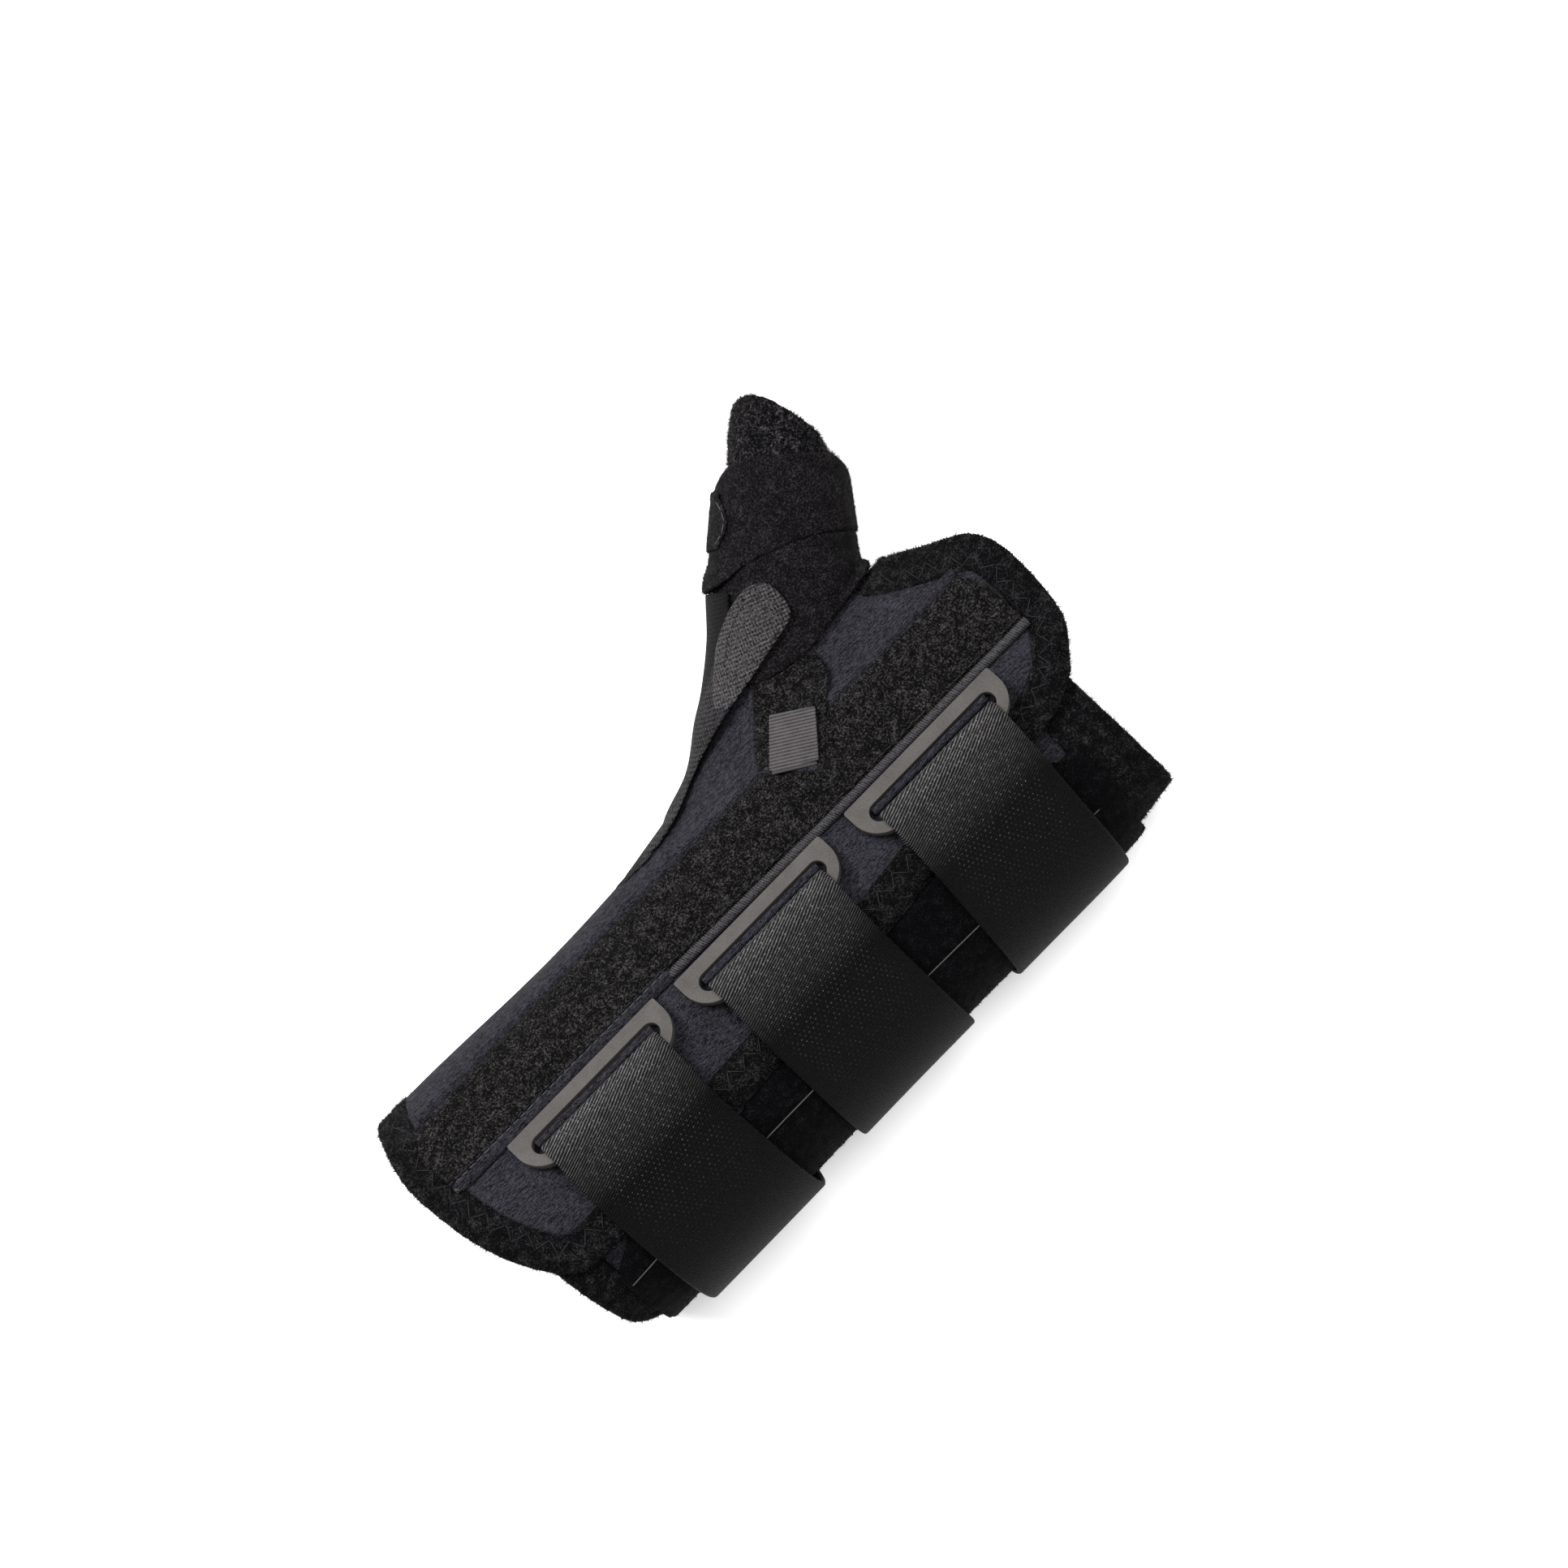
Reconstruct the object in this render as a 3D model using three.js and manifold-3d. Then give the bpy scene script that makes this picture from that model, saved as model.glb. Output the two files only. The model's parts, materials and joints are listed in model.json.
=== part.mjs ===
// Right-hand thumb spica splint, as it keeps its form on a table, palm side down.
// X runs from the forearm to the fingers, Y towards the thumb, Z off the back of the hand.
// The origin lies on the table under the wrist strap.

import * as THREE from "three";
import * as BufferGeometryUtils from "three/addons/utils/BufferGeometryUtils.js";
import Module from "manifold-3d";

const wasm = await Module();
wasm.setup();

// Driving sizes in millimetres
const braceLength = 206;
const braceWidth = 80;
const braceHeight = 62;
const thumbReach = 102;
const thumbWidth = 32;
const thumbHeight = 30;
const thumbLift = 3;
const wall = 3;
const pileDepth = 2;
const webbing = 1.6;
const gap = 0.3;
const strapWidth = 38;
const bindingWidth = 8.5;
const pipingWidth = 2.2;
const ringLength = 48.5;
const ringWidth = 12;
const ringThickness = 2.4;
const ringBar = 3.5;
const slotLength = 41;
const slotWidth = 4.9;
const ringCorner = 8;

// Places worked out from them
const underside = webbing + gap;
const hollowFloor = underside + wall;
const seamHeight = underside + 0.4 * braceHeight;
const lapDepth = wall + gap;
const thumbAngle = Math.PI / 4;
const high = 3 * braceHeight;
const wide = 3 * braceWidth;

// Sections of the wrap, from the forearm end to the fingers. along is a share of braceLength,
// radial and ulnar are the two sides as shares of braceWidth, crown the top as a share of braceHeight.
const wrapSections = [
  { along: -0.56, radial: 0.505, ulnar: -0.488, crown: 1.03 },
  { along: -0.42, radial: 0.512, ulnar: -0.493, crown: 1.0 },
  { along: -0.2, radial: 0.495, ulnar: -0.493, crown: 0.94 },
  { along: 0, radial: 0.52, ulnar: -0.49, crown: 0.87 },
  { along: 0.2, radial: 0.575, ulnar: -0.492, crown: 0.82 },
  { along: 0.36, radial: 0.622, ulnar: -0.49, crown: 0.77 },
  { along: 0.45, radial: 0.634, ulnar: -0.463, crown: 0.74 },
  { along: 0.56, radial: 0.634, ulnar: -0.45, crown: 0.71 },
];

// Sections of the thumb sleeve along its 45 degree axis, which starts at the radial edge of the wrist.
// along is a share of thumbReach, outer and web are its two sides as shares of thumbWidth,
// crown is its height as a share of thumbHeight.
const thumbSections = [
  { along: -0.112, outer: -0.14, web: 1.17, crown: 1.15 },
  { along: 0.016, outer: 0.01, web: 1.29, crown: 1.2 },
  { along: 0.104, outer: 0.155, web: 1.36, crown: 1.22 },
  { along: 0.182, outer: 0.254, web: 1.42, crown: 1.2 },
  { along: 0.261, outer: 0.33, web: 1.465, crown: 1.18 },
  { along: 0.319, outer: 0.372, web: 1.48, crown: 1.15 },
  { along: 0.437, outer: 0.415, web: 1.48, crown: 1.09 },
  { along: 0.545, outer: 0.41, web: 1.44, crown: 1.05 },
  { along: 0.653, outer: 0.425, web: 1.37, crown: 1.0 },
  { along: 0.761, outer: 0.454, web: 1.32, crown: 0.95 },
  { along: 0.839, outer: 0.472, web: 1.285, crown: 0.91 },
  { along: 0.927, outer: 0.482, web: 1.25, crown: 0.87 },
  { along: 1.06, outer: 0.55, web: 1.23, crown: 0.82 },
];

// Straps: along is where each ring's middle stands as a share of braceLength, drift is how far the strap's
// end lies from there in millimetres, and bow how far it stands off the ulnar side.
const straps = [
  { name: "forearm", along: -0.268, drift: 1.6, bow: 1.6 },
  { name: "wrist", along: -0.006, drift: 0, bow: 0.3 },
  { name: "hand", along: 0.266, drift: -4.5, bow: 0 },
];

const colours = {
  laminate: 0x3a383e,
  fleece: 0x282526,
  pile: 0x242223,
  pileUnder: 0x19191a,
  webbing: 0x595758,
  elastic: 0x171717,
  hook: 0x4a474b,
  plastic: 0x837f7e,
};

// Smooth curve through one column of a table
function columnCurve(rows, column) {
  const slope = rows.map((row, i) => {
    const before = rows[Math.max(i - 1, 0)];
    const after = rows[Math.min(i + 1, rows.length - 1)];
    return (after[column] - before[column]) / (after.along - before.along);
  });
  return (along) => {
    let i = 0;
    while (i < rows.length - 2 && along > rows[i + 1].along) i += 1;
    const span = rows[i + 1].along - rows[i].along;
    const t = THREE.MathUtils.clamp((along - rows[i].along) / span, 0, 1);
    const t2 = t * t;
    const t3 = t2 * t;
    return (2 * t3 - 3 * t2 + 1) * rows[i][column] + (t3 - 2 * t2 + t) * span * slope[i]
      + (3 * t2 - 2 * t3) * rows[i + 1][column] + (t3 - t2) * span * slope[i + 1];
  };
}

const wrapRadial = columnCurve(wrapSections, "radial");
const wrapUlnar = columnCurve(wrapSections, "ulnar");
const wrapCrown = columnCurve(wrapSections, "crown");
const thumbOuter = columnCurve(thumbSections, "outer");
const thumbWeb = columnCurve(thumbSections, "web");
const thumbCrown = columnCurve(thumbSections, "crown");

// Point on an oval section at an angle, pushed out by offset, with its underside flattened
function ovalPoint(oval, theta, offset) {
  const c = Math.cos(theta);
  const s = Math.sin(theta);
  const power = s >= 0 ? 2.4 : 2.7;
  const rise = s >= 0 ? oval.rise : oval.drop;
  const radius = (Math.abs(c / oval.half) ** power + Math.abs(s / rise) ** power) ** (-1 / power);
  const across = radius * c;
  const up = radius * s;
  const normal = new THREE.Vector2(
    (Math.sign(c) * Math.abs(across / oval.half) ** (power - 1)) / oval.half,
    (Math.sign(s) * Math.abs(up / rise) ** (power - 1)) / rise,
  ).normalize();
  const z = oval.z + up + normal.y * offset;
  return [oval.middle + across + normal.x * offset, Math.max(z, oval.floor - offset)];
}

function ovalBetween(right, left, floor, top) {
  const z = floor + 0.46 * (top - floor);
  const half = (right - left) / 2;
  return { half, middle: right - half, z, rise: top - z, drop: z - floor + wall, floor };
}

// Inner surface of the wrap at x, pushed out by offset
function wrapPoint(x, theta, offset) {
  const along = x / braceLength;
  const oval = ovalBetween(
    wrapRadial(along) * braceWidth - wall,
    wrapUlnar(along) * braceWidth + wall,
    hollowFloor,
    underside + wrapCrown(along) * braceHeight - wall,
  );
  const [y, z] = ovalPoint(oval, theta, offset);
  return new THREE.Vector3(x, y, z);
}

// Plan frame of the thumb: along its axis and across it towards the web
const thumbRoot = new THREE.Vector2(0, wrapRadial(0) * braceWidth);
const thumbAxis = new THREE.Vector2(Math.cos(thumbAngle), Math.sin(thumbAngle));
const thumbAcross = new THREE.Vector2(Math.sin(thumbAngle), -Math.cos(thumbAngle));

function thumbPlan(along, across) {
  return thumbRoot.clone()
    .addScaledVector(thumbAxis, along * thumbReach)
    .addScaledVector(thumbAcross, across * thumbWidth);
}

function wrapPlan(along, across) {
  return new THREE.Vector2(along * braceLength, across * braceWidth);
}

function thumbPoint(along, theta, offset) {
  const floor = hollowFloor + thumbLift;
  const outer = thumbOuter(along) * thumbWidth + wall;
  const web = thumbWeb(along) * thumbWidth - wall;
  const oval = ovalBetween(web, outer, floor, floor + thumbCrown(along) * thumbHeight - 2 * wall);
  const [across, z] = ovalPoint(oval, theta, offset);
  const plan = thumbPlan(along, across / thumbWidth);
  return new THREE.Vector3(plan.x, plan.y, z);
}

// The dorsal flap climbs over the palmar panel between these two lines, towards the ulnar side
const lapStart = 0.215 * braceWidth;
const lapFull = 0.09 * braceWidth;

function lapRise(point) {
  if (point.z < seamHeight - wall && point.y > 0) return 0;
  return lapDepth * THREE.MathUtils.smoothstep(lapStart - point.y, 0, lapStart - lapFull);
}

// The radial strap climbs from the wrap onto the spica band along the thumb's axis
const climbStart = 0.1;
const climbEnd = 0.26;

function spicaRise(point) {
  const plan = new THREE.Vector2(point.x, point.y).sub(thumbRoot);
  const along = plan.dot(thumbAxis) / thumbReach;
  return (pileDepth + gap) * THREE.MathUtils.smoothstep(along, climbStart, climbEnd);
}

const noRise = () => 0;

// Closed solids
function solidOf(geometry) {
  const bare = geometry.index ? geometry.clone() : BufferGeometryUtils.mergeVertices(geometry);
  bare.deleteAttribute("normal");
  bare.deleteAttribute("uv");
  const merged = BufferGeometryUtils.mergeVertices(bare, 1e-4);
  return new wasm.Manifold(new wasm.Mesh({
    numProp: 3,
    vertProperties: Float32Array.from(merged.attributes.position.array),
    triVerts: Uint32Array.from(merged.index.array),
  }));
}

// Closes rows of points, each row a ring, into a solid with flat ends
function loft(rings) {
  const count = rings[0].length;
  const points = rings.flat();
  const faces = [];
  for (let i = 0; i < rings.length - 1; i += 1) {
    for (let j = 0; j < count; j += 1) {
      const next = (j + 1) % count;
      const [a, b, c, d] = [i * count + j, i * count + next, (i + 1) * count + next, (i + 1) * count + j];
      faces.push(a, b, d, b, c, d);
    }
  }
  for (const [ring, flip] of [[0, true], [rings.length - 1, false]]) {
    const centre = rings[ring].reduce((sum, p) => sum.add(p), new THREE.Vector3()).divideScalar(count);
    points.push(centre);
    for (let j = 0; j < count; j += 1) {
      const edge = [ring * count + j, ring * count + (j + 1) % count];
      if (flip) edge.reverse();
      faces.push(points.length - 1, ...edge);
    }
  }
  const geometry = new THREE.BufferGeometry();
  geometry.setAttribute("position", new THREE.Float32BufferAttribute(points.flatMap((p) => p.toArray()), 3));
  geometry.setIndex(faces);
  return geometry;
}

const ringSteps = 28;
const wrapSteps = 13;
const thumbRingSteps = 18;
const thumbSteps = 9;
const angles = (count) => Array.from({ length: count }, (_, i) => (2 * Math.PI * (i + 0.5)) / count);
const steps = (from, to, count) => (
  Array.from({ length: count + 1 }, (_, i) => from + ((to - from) * i) / count)
);

// Solid wrap and thumb, both pushed out from the hollow by offset and by a rise that varies over them
function body(offset, rise) {
  const surface = (point) => (station) => (theta) => (
    point(station, theta, offset + rise(point(station, theta, wall)))
  );
  const wrap = steps(-0.55, 0.55, wrapSteps).map((along) => (
    angles(ringSteps).map(surface(wrapPoint)(along * braceLength))
  ));
  const thumb = steps(-0.11, 1.05, thumbSteps).map((along) => (
    angles(thumbRingSteps).reverse().map(surface(thumbPoint)(along))
  ));
  return solidOf(loft(wrap)).add(solidOf(loft(thumb)));
}

// Layer of cloth between two offsets from the hollow
function layer(inner, thickness, rise = noRise) {
  return body(inner + thickness, rise).subtract(body(inner, rise));
}

// Upright prism over an outline seen from above
function prism(outline, bottom = -high, top = high) {
  const depth = top - bottom;
  const geometry = new THREE.ExtrudeGeometry(new THREE.Shape(outline), { depth, bevelEnabled: false });
  return solidOf(geometry.translate(0, 0, bottom));
}

// Outline that runs smoothly through its points
function smooth(points, count) {
  return new THREE.SplineCurve(points).getSpacedPoints(count);
}

// Outline moved by distance along its outward normals, for a line run in the order given
function shifted(points, distance) {
  return points.map((point, i) => {
    const before = points[Math.max(i - 1, 0)];
    const after = points[Math.min(i + 1, points.length - 1)];
    const run = after.clone().sub(before).normalize();
    return new THREE.Vector2(point.x + run.y * distance, point.y - run.x * distance);
  });
}

const wrapPoints = (rows) => rows.map(([along, across]) => wrapPlan(along, across));
const thumbPoints = (rows) => rows.map(([along, across]) => thumbPlan(along, across));

const splint = new THREE.Group();

function addPiece(name, geometry, colour, roughness = 0.95) {
  const mesh = new THREE.Mesh(geometry, new THREE.MeshStandardMaterial({ color: colour, roughness }));
  mesh.name = name;
  splint.add(mesh);
}

function addCloth(name, solid, colour) {
  const data = solid.getMesh();
  const geometry = new THREE.BufferGeometry();
  geometry.setAttribute("position", new THREE.BufferAttribute(data.vertProperties, 3));
  geometry.setIndex(new THREE.BufferAttribute(data.triVerts, 1));
  geometry.computeVertexNormals();
  addPiece(name, geometry, colour);
}

// Outline of the dorsal panel's free edge: web, hand end, flap along the ulnar side, forearm end
const dorsalEdge = smooth(wrapPoints([
  [0.375, 0.67], [0.392, 0.63], [0.437, 0.562], [0.485, 0.484], [0.5, 0.36], [0.492, 0.14],
  [0.461, 0.024], [0.444, -0.016], [0.388, -0.069], [0.243, -0.112], [0, -0.175], [-0.22, -0.21],
  [-0.388, -0.225], [-0.437, -0.19], [-0.468, -0.07], [-0.488, 0.078], [-0.501, 0.297],
  [-0.491, 0.47], [-0.481, 0.56],
]), 26);
const outside = (sign) => new THREE.Vector2(sign * braceLength, wide);

// Sewn line where the thumb sleeve joins the wrap, under the spica band
const sleeveSeam = smooth(thumbPoints([
  [0.349, -0.6], [0.349, 0.345], [0.353, 0.643], [0.401, 0.93], [0.471, 1.151],
  [0.547, 1.35], [0.622, 1.53], [0.66, 1.62],
]), 8);
const thumbSide = prism([
  ...sleeveSeam, new THREE.Vector2(braceLength, sleeveSeam.at(-1).y), outside(1), outside(-0.2),
]);
const wrapSide = prism([
  ...shifted(sleeveSeam, gap), new THREE.Vector2(braceLength, sleeveSeam.at(-1).y - gap),
  new THREE.Vector2(braceLength, -wide), new THREE.Vector2(-braceLength, -wide), outside(-1),
  new THREE.Vector2(sleeveSeam[0].x, wide),
]);

const dorsalOutline = (inset) => [...shifted(dorsalEdge, inset), outside(-1), outside(1)];
const dorsalLayer = layer(0, wall, lapRise)
  .intersect(prism(dorsalOutline(0), seamHeight + gap / 2))
  .intersect(wrapSide);
addCloth("dorsal_panel", dorsalLayer.intersect(prism(dorsalOutline(bindingWidth))), colours.laminate);
addCloth("dorsal_binding", dorsalLayer.subtract(prism(dorsalOutline(bindingWidth - gap))), colours.fleece);

// Palmar panel: under the hand and up the ulnar side, its top edge tucked under the dorsal flap
const palmEdge = smooth(wrapPoints([
  [0.4, 0.8], [0.398, 0.64], [0.425, 0.5], [0.442, 0.3],
  [0.444, -0.05], [0.447, -0.3], [0.449, -0.46], [0.44, -0.6],
]), 7);
const palmTail = smooth(wrapPoints([
  [-0.405, -0.6], [-0.407, -0.49], [-0.423, -0.465], [-0.436, -0.42], [-0.442, -0.35], [-0.449, -0.2],
  [-0.452, 0], [-0.458, 0.25], [-0.474, 0.48], [-0.482, 0.6], [-0.482, 0.8],
]), 9);
const palmOutline = (inset) => [...shifted(palmEdge, inset), ...shifted(palmTail, inset)];
const palmLayer = layer(0, wall)
  .intersect(prism(palmOutline(0)))
  .intersect(wrapSide)
  .subtract(prism([
    new THREE.Vector2(-braceLength, 0), new THREE.Vector2(braceLength, 0), outside(1), outside(-1),
  ], seamHeight - gap / 2));
const palmMiddle = prism(palmOutline(bindingWidth));
const palmEnds = palmLayer.subtract(prism(palmOutline(bindingWidth - gap)));
const handHalf = prism([
  new THREE.Vector2(0, -wide), new THREE.Vector2(braceLength, -wide), outside(1), new THREE.Vector2(0, wide),
]);
addCloth("palmar_panel", palmLayer.intersect(palmMiddle), colours.laminate);
addCloth("palmar_binding_hand", palmEnds.intersect(handHalf), colours.fleece);
addCloth("palmar_binding_forearm", palmEnds.subtract(handHalf), colours.fleece);

// Thumb sleeve, its fleece cuff with the slanted opening, and the pile band wound round it
const cuffEdge = smooth(thumbPoints([
  [0.99, -0.4], [0.99, 0.3], [0.994, 0.5], [0.989, 0.72],
  [0.964, 0.932], [0.918, 1.118], [0.862, 1.26], [0.85, 1.8],
]), 8);
const cuffStart = thumbPoints([[0.77, 1.8], [0.77, -0.4]]);
const sleeveLayer = layer(0, wall).intersect(thumbSide);
addCloth("thumb_cuff", sleeveLayer.intersect(prism([...cuffStart, ...cuffEdge])), colours.fleece);
const sleeveEnd = thumbPoints([[0.767, -0.7], [0.767, 1.8], [-0.3, 2.2], [-0.3, -0.7]]);
addCloth("thumb_sleeve", sleeveLayer.intersect(prism(sleeveEnd)), colours.laminate);

const bandLower = smooth(thumbPoints([
  [0.53, -0.4], [0.548, 0.28], [0.6, 0.56], [0.636, 0.78], [0.672, 1.07], [0.693, 1.43], [0.7, 1.6],
]), 5);
const bandUpper = smooth(thumbPoints([
  [0.88, 1.6], [0.876, 1.25], [0.871, 0.96], [0.859, 0.7], [0.837, 0.47], [0.83, -0.4],
]), 4);
const bandDepth = 1.3 * pileDepth;
addCloth(
  "thumb_band",
  layer(wall + gap, bandDepth).intersect(prism([...bandLower, ...bandUpper])),
  colours.pile,
);

// Spica band: pile round the foot of the thumb, up to the thumb band
const spicaLower = smooth(thumbPoints([
  [0.3, -0.6], [0.31, 0.3], [0.329, 0.676], [0.384, 0.986],
  [0.457, 1.195], [0.554, 1.416], [0.61, 1.54], [0.63, 1.6],
]), 9);
const spicaUpper = shifted(bandLower, gap).reverse();
const spicaOutline = (grow) => [...shifted(spicaLower, grow), ...spicaUpper];
addCloth("spica_band", layer(wall + gap, pileDepth).intersect(prism(spicaOutline(0))), colours.pile);

// Radial strap: elastic from the thumb's foot down the radial edge, ending in a round tab of hook weave
const radialInner = smooth(thumbPoints([
  [0.353, 0.687], [0.266, 0.477], [0.186, 0.289], [0.1, 0.124], [0.008, -0.024],
  [-0.076, -0.199], [-0.12, -0.32],
]), 7);
const tabStart = 0.353;
const tabSeam = tabStart + gap / thumbReach;
const radialOuter = thumbPoints([[-0.15, -0.5], [0.1, -0.9], [tabStart, -0.5]]);
const radialLayer = layer(wall + gap, webbing, spicaRise);
const radialFloor = hollowFloor + thumbLift;
const radialOutline = [...radialInner, ...radialOuter];
addCloth("radial_strap", radialLayer.intersect(prism(radialOutline, radialFloor)), colours.elastic);
const hookOutline = smooth(thumbPoints([
  [tabSeam, 0.69], [0.383, 0.769], [0.435, 0.913], [0.457, 0.952], [0.481, 0.941], [0.509, 0.897],
  [0.537, 0.809],
  [0.55, 0.742], [0.546, 0.647], [0.52, 0.552], [0.475, 0.44], [0.44, -0.4],
]), 14);
const hookStart = thumbPoints([[tabSeam, -0.4]]);
addCloth("hook_tab", radialLayer.intersect(prism([...hookOutline, ...hookStart], radialFloor)), colours.hook);

// Raised pile sleeve over the dorsal stay, and the piping along its ulnar side
const pipingLine = [
  { along: -0.455, across: 0.214 },
  { along: -0.12, across: 0.207 },
  { along: 0.15, across: 0.193 },
  { along: 0.36, across: 0.188 },
  { along: 0.442, across: 0.187 },
];
const pipingAcross = columnCurve(pipingLine, "across");
const pipingCurve = smooth(pipingLine.map((row) => wrapPlan(row.along, row.across)), 6);
const stayTop = wrapPoints([[0.442, 0.425], [-0.455, 0.425]]);
const patchOutline = wrapPoints([
  [0.192, 0.68], [0.192, 0.619], [0.129, 0.444], [0.18, 0.319], [0.257, 0.506], [0.257, 0.68],
]);
const patchHole = prism(shifted(patchOutline, 2 * gap));
const topLayer = layer(wall + gap, pileDepth, lapRise);
const stayOutline = prism([...shifted(pipingCurve, -pipingWidth / 2 - gap), ...stayTop], seamHeight);
addCloth("stay_sleeve", topLayer.intersect(stayOutline).subtract(patchHole), colours.pile);
const pipingOutline = prism([
  ...shifted(pipingCurve, pipingWidth / 2), ...shifted(pipingCurve, -pipingWidth / 2).reverse(),
], seamHeight);
addCloth("stay_piping", topLayer.intersect(pipingOutline), colours.fleece);

// Pile patch between the spica band and the stay, with a webbing tab on it
const patch = topLayer.intersect(prism(patchOutline, seamHeight)).subtract(prism(spicaOutline(gap)));
addCloth("pile_patch", patch, colours.pile);
const tabOutline = wrapPoints([[0.172, 0.537], [0.216, 0.456], [0.175, 0.338], [0.126, 0.419]]);
const tabLayer = layer(wall + 2 * gap + pileDepth, webbing, lapRise);
addCloth("webbing_tab", tabLayer.intersect(prism(tabOutline, seamHeight)), colours.webbing);

// Pile strip round the ulnar edge, under the straps
const stripFloor = hollowFloor + wall;
const stripOutline = prism(wrapPoints([
  [-0.408, -0.7], [0.388, -0.7], [0.388, -0.43], [0.38, -0.37], [0.34, -0.354],
  [0.1, -0.338], [-0.17, -0.329], [-0.408, -0.375],
]), stripFloor);
addCloth("ulnar_strip", layer(wall + gap, pileDepth).intersect(stripOutline), colours.pileUnder);

// Height of the dorsal flap's top at a place in plan
function angleAt(x, y, offset) {
  let [low, top] = [0, Math.PI];
  for (let i = 0; i < 40; i += 1) {
    const middle = (low + top) / 2;
    if (wrapPoint(x, middle, offset).y > y) low = middle;
    else top = middle;
  }
  return low;
}

function flapHeight(x, y) {
  const lift = y < lapStart ? lapRise(new THREE.Vector3(x, y, high)) : 0;
  return wrapPoint(x, angleAt(x, y, wall + lift), wall + lift).z;
}

// Frame of a strap ring whose upper edge lies beside the piping: x along it, y up the plate, z off the hand
function ringFrame(middle, top) {
  const tuck = (y) => (y < -ringWidth / 2 ? webbing + gap : 0);
  const needed = (x, y) => flapHeight(middle + x, top + y) + gap + tuck(y);
  const half = ringLength / 2;
  const corners = [0, -ringWidth].flatMap((y) => [needed(-half, y), needed(half, y)]);
  const slopeX = (corners[1] + corners[3] - corners[0] - corners[2]) / 2 / ringLength;
  const slopeY = (corners[0] + corners[1] - corners[2] - corners[3]) / 2 / ringWidth;
  let lift = -Infinity;
  for (const x of steps(-half, half, 8)) {
    for (const y of steps(-ringWidth, 0, 6)) lift = Math.max(lift, needed(x, y) - slopeX * x - slopeY * y);
  }
  const ex = new THREE.Vector3(1, 0, slopeX).normalize();
  const ez = new THREE.Vector3(-slopeX, -slopeY, 1).normalize();
  const ey = ez.clone().cross(ex);
  return new THREE.Matrix4().makeBasis(ex, ey, ez).setPosition(middle, top, lift);
}

// Strap ring: a flat plate with a sewn upper bar, a long slot and two round lower corners
function ringShape() {
  const half = ringLength / 2;
  const shape = new THREE.Shape();
  shape.moveTo(-half, 0);
  shape.lineTo(-half, -ringWidth + ringCorner);
  shape.absarc(-half + ringCorner, -ringWidth + ringCorner, ringCorner, Math.PI, 1.5 * Math.PI, false);
  shape.absarc(half - ringCorner, -ringWidth + ringCorner, ringCorner, 1.5 * Math.PI, 2 * Math.PI, false);
  shape.lineTo(half, 0);
  const slot = new THREE.Path();
  const end = slotLength / 2 - slotWidth / 2;
  const centre = -ringBar - slotWidth / 2;
  slot.absarc(end, centre, slotWidth / 2, -Math.PI / 2, Math.PI / 2, false);
  slot.absarc(-end, centre, slotWidth / 2, Math.PI / 2, 1.5 * Math.PI, false);
  shape.holes.push(slot);
  return shape;
}

// Folded path of a strap in its ring's frame: under the lower bar, round it through the slot and back over
const seat = gap + webbing / 2;
const barTop = -ringBar - slotWidth;
const diagonal = seat * Math.SQRT1_2;
const tuckLength = 10;
const overBar = ringThickness + seat;
const foldPath = [
  [barTop - tuckLength, -seat],
  [barTop - tuckLength / 2, -seat],
  [barTop, -seat],
  [barTop + diagonal, -diagonal],
  [barTop + seat, 0],
  [barTop + seat, ringThickness],
  [barTop + diagonal, ringThickness + diagonal],
  [barTop, overBar],
  [barTop - ringBar, overBar],
  [barTop - 2 * ringBar, overBar - webbing / 2],
];

// How far the strap's inner face stands off the hollow over the flap, the pile strip and the table side
function strapOffset(point) {
  const onFlap = 2 * (wall + gap) + gap;
  const onStrip = wall + 3 * gap + pileDepth;
  const overEdge = THREE.MathUtils.smoothstep(-point.y, 0.2 * braceWidth, 0.33 * braceWidth);
  const side = THREE.MathUtils.lerp(onFlap, onStrip, overEdge);
  const inward = THREE.MathUtils.smoothstep(point.y, -0.36 * braceWidth, -0.24 * braceWidth);
  return THREE.MathUtils.lerp(side, wall + gap, point.z < seamHeight ? inward : 0);
}

const strapColumns = [-0.5, 0, 0.5];
const strapSteps = 24;
const strapTop = -0.115 * braceWidth;
const strapEnd = 0.26 * braceWidth;

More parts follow.
